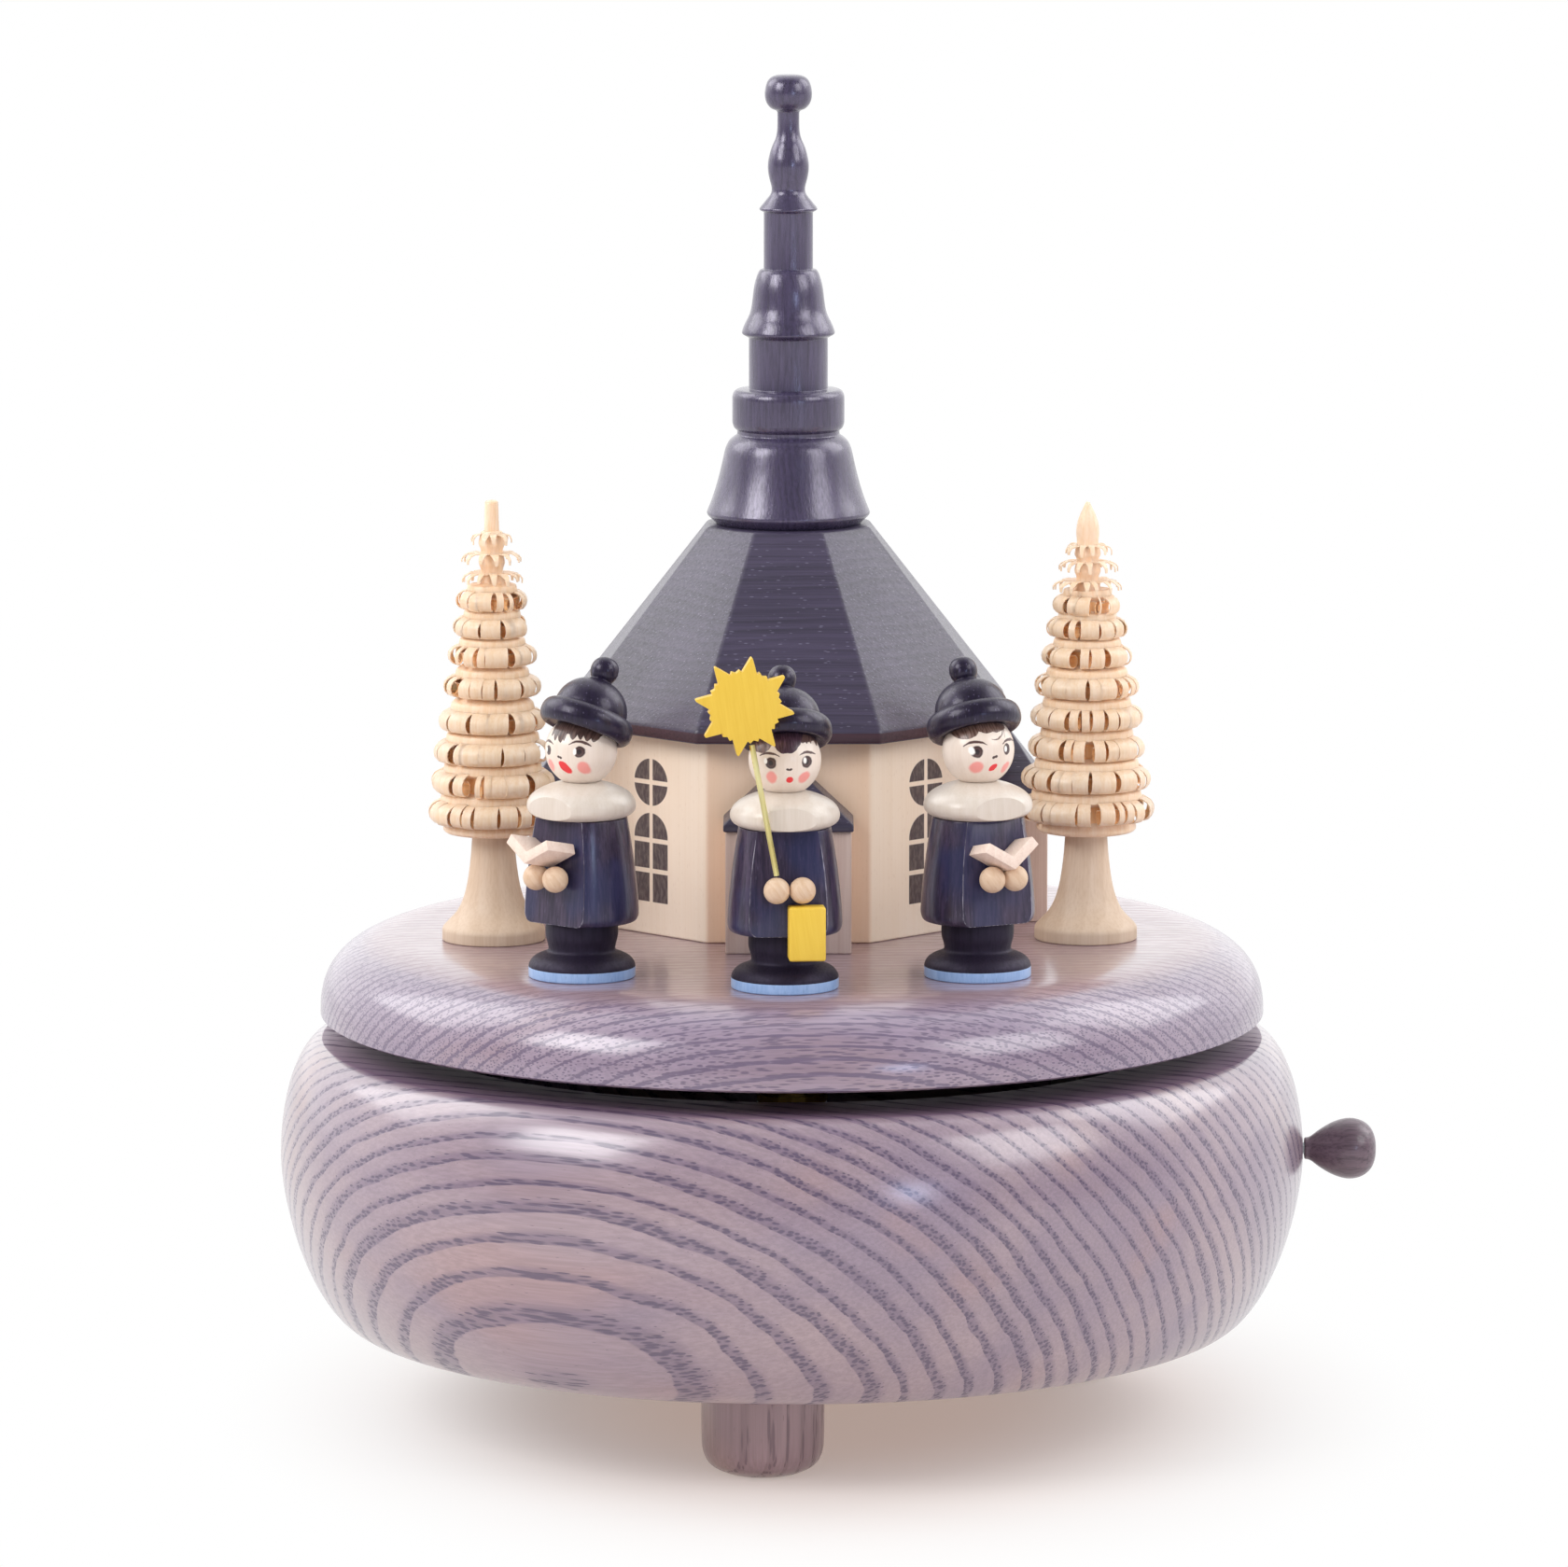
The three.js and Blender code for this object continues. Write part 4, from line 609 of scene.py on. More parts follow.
def metalFinish(name):
    look = metalLooks[name]
    material, tree, shader = newFinish(name + "Metal", {"Metallic": 1.0, "Roughness": look["rough"]})
    where = onObject(tree)
    lines = noise(where, look["brushed"], 3.0, 0.6)
    stain = noise(where, (90, 90, 90), 3.0)
    feed(shader["Base Color"], mixed(ramp(stain, 0.4, 0.75), look["base"], look["worn"]))
    feed(shader["Roughness"], ramp(lines, 0.3, 0.7, look["rough"] - 0.08, look["rough"] + 0.12))
    bumped(shader, lines, 0.15, 0.03)
    return material


finishes = {name: woodFinish(name) for name in woodLooks}
finishes.update({name + "Ash": ashFinish(name + "Ash", look) for name, look in ashLooks.items()})
finishes.update({name: metalFinish(name) for name in metalLooks})
finishes.update({name + "Face": faceFinish(name) for name in faceLooks})
finishes["windowWall"] = wallFinish()
print("finishes:", len(finishes))


# Making pieces

def addPiece(name, mesh, finish, replaced, body="turntable"):
    for face in mesh.faces:
        face.smooth = True
    for edge in mesh.edges:
        edge.smooth = len(edge.link_faces) == 2 and edge.calc_face_angle(0.0) < smoothBelow
    data = bpy.data.meshes.new(name)
    mesh.to_mesh(data)
    mesh.free()
    piece = linked(name, data)
    for entry in [finish] if isinstance(finish, str) else finish:
        data.materials.append(finishes[entry])
    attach(piece, body)
    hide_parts(replaced)
    return piece


# Corners are [radius, height] or [radius, height, easing] in mm; an eased corner becomes a short curve
def eased(corners, steps=5):
    points = []
    for index, corner in enumerate(corners):
        here = Vector(corner[:2])
        if len(corner) < 3 or index in (0, len(corners) - 1):
            points.append(here)
            continue
        before, after = Vector(corners[index - 1][:2]), Vector(corners[index + 1][:2])
        start = here + (before - here).normalized() * min(corner[2], (before - here).length * 0.499)
        end = here + (after - here).normalized() * min(corner[2], (after - here).length * 0.499)
        for step in range(steps + 1):
            t = step / steps
            points.append(start * (1 - t) ** 2 + here * (2 * t * (1 - t)) + end * t ** 2)
    return points


def shoulder(inner, outer, wideZ, endZ, power, steps):
    points = []
    for step in range(steps + 1):
        angle = math.pi / 2 * step / steps
        across = max(math.cos(angle), 0) ** (2 / power)
        height = wideZ + (endZ - wideZ) * math.sin(angle) ** (2 / power)
        points.append([inner + (outer - inner) * across, height])
    return points


def turned(outline, segments, closed=False):
    mesh = bmesh.new()
    chain = [mesh.verts.new((radius * mm, 0, height * mm)) for radius, height in outline]
    edges = [mesh.edges.new(pair) for pair in zip(chain, chain[1:])]
    if closed:
        edges.append(mesh.edges.new((chain[-1], chain[0])))
    bmesh.ops.spin(mesh, geom=chain + edges, cent=(0, 0, 0), axis=(0, 0, 1), angle=math.tau,
                   steps=segments, use_merge=True, use_duplicate=False)
    bmesh.ops.remove_doubles(mesh, verts=mesh.verts, dist=0.1 * weld)
    bmesh.ops.recalc_face_normals(mesh, faces=mesh.faces)
    return mesh


def moved(mesh, matrix):
    bmesh.ops.transform(mesh, matrix=matrix, verts=mesh.verts)
    return mesh


def lathed(corners, place, segments=64):
    return moved(turned(eased(corners), segments), place)


def at(x, y, z):
    return Matrix.Translation(Vector((x, y, z)) * mm)


def turnedAbout(axis, degrees):
    return Matrix.Rotation(math.radians(degrees), 4, axis)


def onPlate(place, turn=0):
    return at(axisX + place[0], place[1], deckZ) @ turnedAbout("Z", turn)


def bevelled(mesh, edges, width, segments):
    return bmesh.ops.bevel(mesh, geom=list(edges), offset=width * mm, offset_type="OFFSET", segments=segments,
                           profile=0.5, affect="EDGES", material=-1, clamp_overlap=True)["faces"]


# Cuts off what lies beyond the plane, and closes the cut
def sliced(mesh, point, normal, easing=0.0, edgeSlot=0):
    found = bmesh.ops.bisect_plane(mesh, geom=mesh.verts[:] + mesh.edges[:] + mesh.faces[:], dist=1e-7,
                                   plane_co=Vector(point) * mm, plane_no=normal, clear_outer=True)
    rim = [item for item in found["geom_cut"] if isinstance(item, bmesh.types.BMEdge)]
    bmesh.ops.holes_fill(mesh, edges=rim, sides=0)
    if easing:
        flat = Vector(normal).normalized()
        lid = [face for face in mesh.faces if face.normal.dot(flat) > 0.999]
        edges = {edge for face in lid for edge in face.edges if edge.is_valid and any(
            other not in lid for other in edge.link_faces)}
        for face in bevelled(mesh, edges, easing, 2):
            face.material_index = edgeSlot
    return mesh


def joined(*meshes):
    whole = bmesh.new()
    for part in meshes:
        data = bpy.data.meshes.new("part")
        part.to_mesh(data)
        part.free()
        whole.from_mesh(data)
        bpy.data.meshes.remove(data)
    return whole


# A solid's own mesh, without the points and edges that its triangles repeat
def cleaned(node):
    mesh = bmesh.new()
    mesh.from_mesh(nodes[node].data)
    bmesh.ops.remove_doubles(mesh, verts=mesh.verts, dist=weld)
    bmesh.ops.dissolve_limit(mesh, angle_limit=math.radians(1), verts=mesh.verts, edges=mesh.edges)
    return mesh


def sharpEdges(mesh, sharpest):
    return [edge for edge in mesh.edges if edge.calc_face_angle(0.0) > sharpest]


# A sawn or stamped solid with its edges broken
def softened(node, width):
    mesh = cleaned(node)
    bevelled(mesh, sharpEdges(mesh, math.radians(15)), width, 3)
    return mesh


# Bowl, feet and plate

bowl = {"baseRadius": 62.8, "widest": 72.69, "widestZ": 36.75, "rimRadius": 66.05, "baseZ": 13.44,
        "rimZ": 53.55, "lowerPower": 1.62, "upperPower": 2.01, "cavityRadius": 54.2, "floorZ": 22.0,
        "boreRadius": 3.5, "edgeEasing": 0.5, "wireBore": (1.1, 50, 80), "rimDepth": 0.2}
bowlScrews = {"places": [(-16, -15), (-16, 15), (42, -12)], "headRadius": 3.3, "depth": 3.0,
              "shankRadius": 1.7, "shankLength": 30}
foot = {"circle": 43.7, "angle": -95.3, "names": ("front", "rear_right", "rear_left"),
        "corners": [[0, 0], [5.2, 0, 0.6], [7.4, 0.95, 9], [8.25, 2.5, 9], [8.5, 4.2, 9], [8.5, 13.44],
                    [0, 13.44]]}
plate = {"radius": 66.9, "flatRadius": 53.2, "baseZ": 56.9, "edgeRise": 0.4, "inset": 0.7, "power": 2.5,
         "boreRadius": 3.3, "boreDepth": 4.1}


# Takes bores out of a piece, one after another
def bored(piece, tools):
    bpy.context.view_layer.update()
    for tool in tools:
        cutter = linked("cutter", bpy.data.meshes.new("cutter"))
        tool.to_mesh(cutter.data)
        tool.free()
        modifier = piece.modifiers.new("bore", "BOOLEAN")
        modifier.operation, modifier.solver, modifier.object = "DIFFERENCE", "EXACT", cutter
        bpy.context.view_layer.update()
        shape = piece.evaluated_get(bpy.context.evaluated_depsgraph_get())
        result = bpy.data.meshes.new_from_object(shape)
        piece.modifiers.clear()
        piece.data = result
        bpy.data.objects.remove(cutter)


def rod(radius, low, high, segments, place):
    return moved(turned([[0, low], [radius, low], [radius, high], [0, high]], segments), place)


def makeBowl():
    base, rim, cavity, bore = bowl["baseZ"], bowl["rimZ"], bowl["cavityRadius"], bowl["boreRadius"]
    lower = shoulder(bowl["baseRadius"], bowl["widest"], bowl["widestZ"], base, bowl["lowerPower"], 22)
    upper = shoulder(bowl["rimRadius"], bowl["widest"], bowl["widestZ"], rim, bowl["upperPower"], 16)
    rimEdge = upper.pop()
    corners = [[bore, base]] + lower[::-1] + upper[1:] + [
        rimEdge + [bowl["edgeEasing"]], [cavity, rim, 0.4], [cavity, bowl["floorZ"], 0.8],
        [bore, bowl["floorZ"]]]
    mesh = moved(turned(eased(corners), 144, closed=True), at(axisX, 0, 0))
    for face in mesh.faces:
        if face.calc_center_median().z > (rim - bowl["rimDepth"]) * mm:
            face.material_index = 1
    piece = addPiece("bowlWood", mesh, ["bowlAsh", "rimAsh"], "base_bowl", "base")
    tools = []
    for x, y in bowlScrews["places"]:
        place = at(axisX + x, y, 0)
        tools += [rod(bowlScrews["headRadius"], 0, base + bowlScrews["depth"], 32, place),
                  rod(bowlScrews["shankRadius"], 0, bowlScrews["shankLength"], 24, place)]
    tools.append(rod(*bowl["wireBore"], 24, at(axisX, 0, knob["height"]) @ turnedAbout("Y", 90)))
    bored(piece, tools)
    for step, name in enumerate(foot["names"]):
        angle = math.radians(foot["angle"] + 120 * step)
        place = at(axisX + foot["circle"] * math.cos(angle), foot["circle"] * math.sin(angle), 0)
        addPiece("footWood_" + name, lathed(foot["corners"], place), "footAsh", "foot_" + name, "base")
    print("bowl and feet made")


def makePlate():
    base, bore, boreTop = plate["baseZ"], plate["boreRadius"], plate["baseZ"] + plate["boreDepth"]
    edge = shoulder(plate["flatRadius"], plate["radius"], base + plate["edgeRise"], deckZ, plate["power"], 26)
    corners = [[0, boreTop], [bore, boreTop], [bore, base], [plate["radius"] - plate["inset"], base, 0.3]]
    mesh = lathed(corners + edge + [[0, deckZ]], at(axisX, 0, 0), 144)
    addPiece("plateWood", mesh, "plateAsh", "turntable")
    print("plate made")


# Church

spire = {"radius": 11.75, "height": 64, "baseZ": 124.6, "corners": [
    [0, 0], [0.868, 0, 0.2], [1, 0.022, 0.45], [0.911, 0.0625, 9], [0.83, 0.114, 9], [0.749, 0.183, 1.6],
    [0.621, 0.2, 0.15], [0.621, 0.209, 0.1], [0.66, 0.214, 0.3], [0.681, 0.225, 0.3], [0.681, 0.289, 0.6],
    [0.638, 0.3, 0.5], [0.479, 0.3015, 0.1], [0.479, 0.4155, 0.1], [0.57, 0.4245, 0.35], [0.54, 0.443, 9],
    [0.462, 0.47, 9], [0.437, 0.495, 9], [0.415, 0.535, 9], [0.355, 0.567, 0.9], [0.298, 0.569, 0.08],
    [0.298, 0.695, 0.1], [0.349, 0.7, 0.15], [0.349, 0.7045, 0.15], [0.187, 0.7405, 0.9], [0.264, 0.792, 9],
    [0.213, 0.8375, 9], [0.132, 0.8655, 9], [0.132, 0.92, 0.4], [0.215, 0.9245, 9], [0.278, 0.94, 9],
    [0.29, 0.964, 9], [0.25, 0.99, 9], [0.15, 1, 0.9], [0, 1],
]}


# Lays the plan of the windows on the four slanting walls
def planWalls(mesh):
    layer = mesh.loops.layers.uv.new("wallPlan")
    middle = Vector((axisX + church["x"], church["y"], deckZ)) * mm
    for face in mesh.faces:
        heading = math.degrees(math.atan2(face.normal.y, face.normal.x)) % 360
        nearest = round(heading / 45) * 45
        slanting = nearest % 90 == 45 and abs(face.normal.z) < 0.1 and abs(heading - nearest) < 2
        turn = math.radians(nearest)
        along = Vector((-math.sin(turn), math.cos(turn), 0))
        for loop in face.loops:
            off = loop.vert.co - middle
            u = off.dot(along) / mm - church["windowMiddle"] * (1 if nearest in (225, 45) else -1)
            loop[layer].uv = (u / planUnit, off.z / mm / planUnit) if slanting else (0.9, 0.9)


def makeChurch():
    walls = softened("church_walls", church["edge"])
    planWalls(walls)
    addPiece("churchWallsWood", walls, "windowWall", "church_walls")
    roof = softened("church_roof", church["roofEdge"])
    eaves = min(vert.co.z for vert in roof.verts) + church["fascia"] * mm
    for face in roof.faces:
        low = face.calc_center_median().z < eaves
        face.material_index = 1 if low and abs(face.normal.z) < church["upright"] else 0
    addPiece("churchRoofWood", roof, ["roof", "fascia"], "church_roof")
    corners = [[c[0] * spire["radius"], c[1] * spire["height"]] + c[2:] for c in spire["corners"]]
    mesh = lathed(corners, at(axisX + church["x"], church["y"], spire["baseZ"]), 96)
    addPiece("churchSpireWood", mesh, "spire", "church_spire")
    for side in ("front", "right", "left"):
        for name, node, slot, finish in (("porchWood_", "porch_", "pale_wood", "porch"),
                                         ("porchRoofWood_", "porch_roof_", "roof_paint", "roof")):
            addPiece(name + side, softened(node + side, church["porchEdge"]), finish, node + side)
    print("church made")


# Trees

# Each tier is [radius, height above the crown's base]; the upper ones are loose feathers
trees = {
    "left": {
        "place": (-42.1, -6.8), "tip": [[1.05, 43.0], [0.95, 47.15, 0.15], [0.6, 47.3]], "seed": 3,
        "tiers": [[9.2, 3.3], [8.7, 7.6], [8.3, 11.9], [7.6, 16.3], [6.85, 21.1], [6.3, 25.5], [5.6, 29.5],
                  [5.05, 33.2]], "feathers": [[4.25, 36.6], [4.2, 39.4], [2.9, 42.1]]},
    "right": {
        "place": (41.5, -5.6), "tip": [[1.65, 42.6, 0.5], [1.5, 44.3, 0.9], [0.25, 47.0, 0.3]], "seed": 8,
        "tiers": [[9.6, 3.6], [9.15, 8.0], [8.3, 12.4], [7.95, 16.7], [7.4, 21.0], [6.4, 25.3], [5.7, 29.2],
                  [4.95, 32.5]], "feathers": [[4.8, 35.4], [4.1, 38.1], [3.3, 40.4]]},
}
treeFoot = {"height": 15, "corners": [[0, 0], [7.25, 0, 0.25], [7.25, 1.75, 0.4], [6.75, 2.35, 9],
                                      [5.0, 4.05, 9], [3.85, 6.9, 9], [3.2, 11.2, 9], [2.95, 15, 0.1],
                                      [0, 15]]}
stem = {"crown": [[0, 0], [2.95, 0, 0.2], [6.6, 0.3, 0.4], [7.1, 0.75, 0.3], [7.0, 1.3, 0.3]],
        "deep": 3.0, "shallow": 1.75, "least": 1.2, "slotHeight": 1.2, "slotDepth": 2.5,
        "slot": (-1.1, 0.9), "ring": (1.5, 2.7), "inset": 0.2, "feathers": ((1.9, -0.9), (1.5, 0.9))}
curls = {"thickness": 0.16, "pitch": 2.5, "pitchSpread": (0.55, 0.95), "leastPitch": 0.8,
         "touchDepth": 1.9, "gapSpread": (0.2, 2.4), "shrink": 0.024, "slant": 0.5,
         "slantSpread": (1.4, 0.3), "radiusSpread": 0.025, "riseSpread": 0.16, "hub": -1.2,
         "pivot": 0.3, "leastReach": 0.6, "facing": 0.35,
         "profile": [(-2.8, 1.8), (-1.95, 1.75), (-1.15, 1.55), (-0.48, 1.12), (-0.08, 0.5), (0, -0.15),
                     (-0.15, -0.8), (-0.58, -1.28), (-1.25, -1.5), (-1.95, -1.28), (-2.35, -0.6),
                     (-2.25, 0.2), (-1.75, 0.7)]}
feather = {"width": 1.25, "share": 0.62, "spread": 0.12, "taper": 0.75, "least": 0.8, "vary": 0.5,
           "jitter": 0.4,
           "profile": [(0.2, 0.25), (0.5, 0.5), (0.75, 0.5), (0.92, 0.2), (1.0, -0.25), (1.0, -0.8)]}


def stemMesh(tree):
    corners = list(stem["crown"])
    for level, (radius, height) in enumerate(tree["tiers"]):
        scale = 1 - curls["shrink"] * level
        deep = max(radius - stem["deep"] * scale, stem["least"])
        corners += [[deep, height + rise * scale, 0.2] for rise in stem["slot"]]
        low, high = stem["ring"]
        corners += [[radius - stem["shallow"] * scale, height + low * scale, 0.2],
                    [radius - (stem["shallow"] + stem["inset"]) * scale, height + high * scale, 0.3]]
    for _, height in tree["feathers"]:
        corners += [[thick, height + rise, 0.3] for thick, rise in stem["feathers"]]
    corners += tree["tip"] + [[0, tree["tip"][-1][1]]]
    mesh = turned(eased(corners, 2), 48)
    # Faces deep in each tier's slot take slot 1, the painted glow of light through the shavings
    for face in mesh.faces:
        middle = face.calc_center_median() / mm
        for radius, height in tree["tiers"]:
            deepInside = math.hypot(middle.x, middle.y) < radius - stem["slotDepth"]
            if abs(middle.z - height) < stem["slotHeight"] and deepInside:
                face.material_index = 1
    return mesh


# One strip of even width: a sheet laid along the profile, then given its thickness
def shaving(radius, height, profile, turn, width, slant, taper=0.0, hub=None):
    mesh = bmesh.new()
    last = len(profile) - 1
    bmesh.ops.create_grid(mesh, x_segments=last, y_segments=3, size=1.0)
    for vert in mesh.verts:
        step = round((vert.co.x + 1) / 2 * last)
        out, up = profile[step]
        reach = radius + out
        half = width / 2 * (1 - taper * step / last)
        angle = turn + (vert.co.y * half + slant * (step / last - curls["pivot"])) / max(
            reach, curls["leastReach"] * radius)
        vert.co = Vector((reach * math.cos(angle), reach * math.sin(angle), height + up)) * mm
    bmesh.ops.recalc_face_normals(mesh, faces=mesh.faces)
    bmesh.ops.solidify(mesh, geom=mesh.faces[:], thickness=curls["thickness"] * mm)
    # Sides of a curl that face the crown's middle take slot 1, the painted glow of light through the shavings
    if hub:
        for face in mesh.faces:
            middle = face.calc_center_median() / mm
            across = math.hypot(middle.x, middle.y)
            share = (radius + hub - across) / across
            inward = Vector((middle.x * share, middle.y * share, height - middle.z)).normalized()
            face.material_index = 1 if face.normal.dot(inward) > curls["facing"] else 0
    return mesh


def curlTier(radius, height, scale, chance):
    profile = [(out * scale, up * scale) for out, up in curls["profile"]]
    least, spread = curls["pitchSpread"]
    turns = []
    turn = chance.random()
    while turn < math.tau - curls["leastPitch"] / radius:
        pitch = curls["pitch"] * (least + spread * chance.random()) / radius
        turns.append((turn, pitch))
        turn += pitch
    least, spread = curls["gapSpread"]
    slantSpread, slantBack = curls["slantSpread"]
    parts = []
    for turn, pitch in turns:
        width = pitch * (radius - curls["touchDepth"] * (least + spread * chance.random() ** 3))
        reach = radius * (1 + curls["radiusSpread"] * (chance.random() - 0.5))
        rise = height + curls["riseSpread"] * (chance.random() - 0.5)
        slant = -curls["slant"] * (chance.random() * slantSpread - slantBack)
        parts.append(shaving(reach, rise, profile, turn, width, slant, hub=curls["hub"] * scale))
    return parts


def featherTier(radius, height, chance):
    count = round(math.tau * radius * feather["share"] / feather["width"])
    parts = []

    def varied(value):
        return value * (feather["least"] + feather["vary"] * chance.random())

    for index in range(count):
        reach = radius * (1 + feather["spread"] * (chance.random() - 0.5))
        profile = [(reach * (share - 1), varied(up)) for share, up in feather["profile"]]
        turn = math.tau * (index + feather["jitter"] * (chance.random() - 0.5)) / count
        width = varied(feather["width"])
        parts.append(shaving(reach, height, profile, turn, width, 0.0, feather["taper"]))
    return parts


def makeTrees():
    for side, tree in trees.items():
        chance = random.Random(tree["seed"])
        base = onPlate(tree["place"])
        addPiece("treeFootWood_" + side, lathed(treeFoot["corners"], base), "lime",
                 "tree_foot_" + side)
        parts = [stemMesh(tree)]
        for level, (radius, height) in enumerate(tree["tiers"]):
            parts += curlTier(radius, height, 1 - curls["shrink"] * level, chance)
        for radius, height in tree["feathers"]:
            parts += featherTier(radius, height, chance)
        crown = moved(joined(*parts), base @ at(0, 0, treeFoot["height"]))
        addPiece("treeCrownWood_" + side, crown, ["shaving", "paintedCurlGlow"], "tree_crown_" + side)
    print("trees made")


# Singers

singers = {
    "left": {"place": (-28.9, -37.9), "turn": -40, "hatRoll": 4, "hatForward": 0.85},
    "centre": {"place": (-1, -47), "turn": 5, "hatRoll": 0, "hatForward": 0.4},
    "right": {"place": (25.5, -37.5), "turn": 27, "hatRoll": 0, "hatForward": 0.35},
}
# A cut is (reach in front at the low end, at the high end, low end, high end, easing)
singer = {
    "legs": [[0, 0], [7.37, 0, 0.25], [7.37, 1.4, 0.15], [7.25, 2.0, 9], [6.65, 2.75, 9], [5.5, 3.25, 9],
             [4.55, 3.6, 0.5], [4.65, 4.5, 9], [5.0, 5.6, 9], [5.0, 6.9, 0.3], [4.9, 7.77], [0, 7.77]],
    "discTop": 1.42, "discUp": 0.6,
    "coat": [[0, 7.77], [7.45, 7.77, 0.35], [7.9, 8.6, 0.8], [7.8, 10.7, 9], [7.5, 13.8, 9], [7.1, 17.3, 9],
             [6.3, 22.2, 0.2], [0, 22.2]],
    "coatCut": (5.9, 4.7, 7.77, 22.2, 0.11),
    "collar": [[0, 0], [6.1, 0, 0.4], [7.26, 0.6, 9], [7.6, 1.6, 9], [7.2, 2.7, 9], [6.2, 3.63, 9],
               [4.5, 4.4, 9], [2.6, 4.9, 0.3], [0, 4.9]],
    "collarCut": (6.4, 6.6, 0, 4.9, 0.12), "collarZ": 22.2,
    "headRadius": 4.95, "headZ": 31.36, "neck": 0.86, "hatTilt": -25, "hatRise": 2.44, "hatSink": 0.02,
    "paintedBack": 0.1, "aside": 5,
    "hat": [[0, 0], [4.9, 0, 0.2], [5.25, -0.28, 9], [5.8, -0.3, 9], [6.45, 0.35, 9], [6.62, 1.35, 9],
            [6.4, 2.4, 9], [5.85, 3.0, 9], [5.35, 3.2, 0.2], [5.1, 3.12, 0.1], [5.02, 3.8, 9], [4.6, 5.1, 9],
            [3.6, 6.35, 9], [2.4, 7.1, 9], [1.4, 7.4, 0.2], [1.8, 8.0, 9], [2.0, 8.94, 9], [1.72, 10.0, 9],
            [0.9, 10.7, 9], [0, 10.76]],
    "handRadius": 1.8, "handZ": 14.43, "handSpacing": 3.5, "handGap": 0.3,
}
book = {"page": 5.1, "depth": 5.0, "thickness": 1.5, "lean": -12, "edge": 0.14}
books = {"left": {"angle": 28, "turn": -9, "roll": 0, "place": (-0.45, -5.65, 15.65)},
         "right": {"angle": 35, "turn": 0, "roll": -4, "place": (0.2, -5.65, 15.1)}}
stampedEdge = 0.35   # on the key and the lantern
star = {"tipEdge": 0.45, "edge": 0.14, "tipShare": 0.9, "tipLength": 1.0}


def leaningCut(corners, cut, edgeSlot=0):
    lower, upper, lowZ, highZ, easing = cut
    normal = Vector((0, -(highZ - lowZ), -(upper - lower))).normalized()
    return sliced(turned(eased(corners), 64), (0, -lower, lowZ), normal, easing, edgeSlot)


# Lays the plan of the painted face on the front of a head, and sets the back aside from it
def planFace(mesh, place, yaw):
    layer = mesh.loops.layers.uv.new("facePlan")
    back = (place @ turnedAbout("Z", yaw)).inverted()
    radius = singer["headRadius"] * mm
    for face in mesh.faces:
        behind = (back @ face.calc_center_median()).y > singer["paintedBack"] * radius
        for loop in face.loops:
            seen = back @ loop.vert.co
            loop[layer].uv = (seen.x / radius + (singer["aside"] if behind else 0), seen.z / radius)


# An open book: a thick V sawn from one strip
def bookMesh(angle):
    slope = math.radians(angle)
    tip = (book["page"] * math.cos(slope), book["page"] * math.sin(slope))
    inner = (tip[0] - book["thickness"] * math.sin(slope), tip[1] + book["thickness"] * math.cos(slope))
    outline = [(0, 0), tip, inner, (0, book["thickness"] / math.cos(slope)), (-inner[0], inner[1]),
               (-tip[0], tip[1])]
    mesh = bmesh.new()
    face = mesh.faces.new([mesh.verts.new((x * mm, 0, z * mm)) for x, z in outline])
    found = bmesh.ops.extrude_face_region(mesh, geom=[face])
    front = [item for item in found["geom"] if isinstance(item, bmesh.types.BMVert)]
    bmesh.ops.translate(mesh, vec=(0, -book["depth"] * mm, 0), verts=front)
    bmesh.ops.recalc_face_normals(mesh, faces=mesh.faces)
    bevelled(mesh, sharpEdges(mesh, 0.2), book["edge"], 2)
    return mesh


# The star with its eight tips blunted before all its edges are broken
def starMesh():
    mesh = cleaned("star")
    middle = sum((vert.co for vert in mesh.verts), Vector()) / len(mesh.verts)
    farthest = max((vert.co - middle).length for vert in mesh.verts)
    tips = [edge for edge in mesh.edges if edge.calc_length() > star["tipLength"] * mm and all(
        (vert.co - middle).length > star["tipShare"] * farthest for vert in edge.verts)]
    bevelled(mesh, tips, star["tipEdge"], 3)
    bevelled(mesh, sharpEdges(mesh, 0.5), star["edge"], 2)
    return mesh


def ball(radius, across, up):
    mesh = bmesh.new()
    bmesh.ops.create_uvsphere(mesh, u_segments=across, v_segments=up, radius=radius * mm)
    return mesh


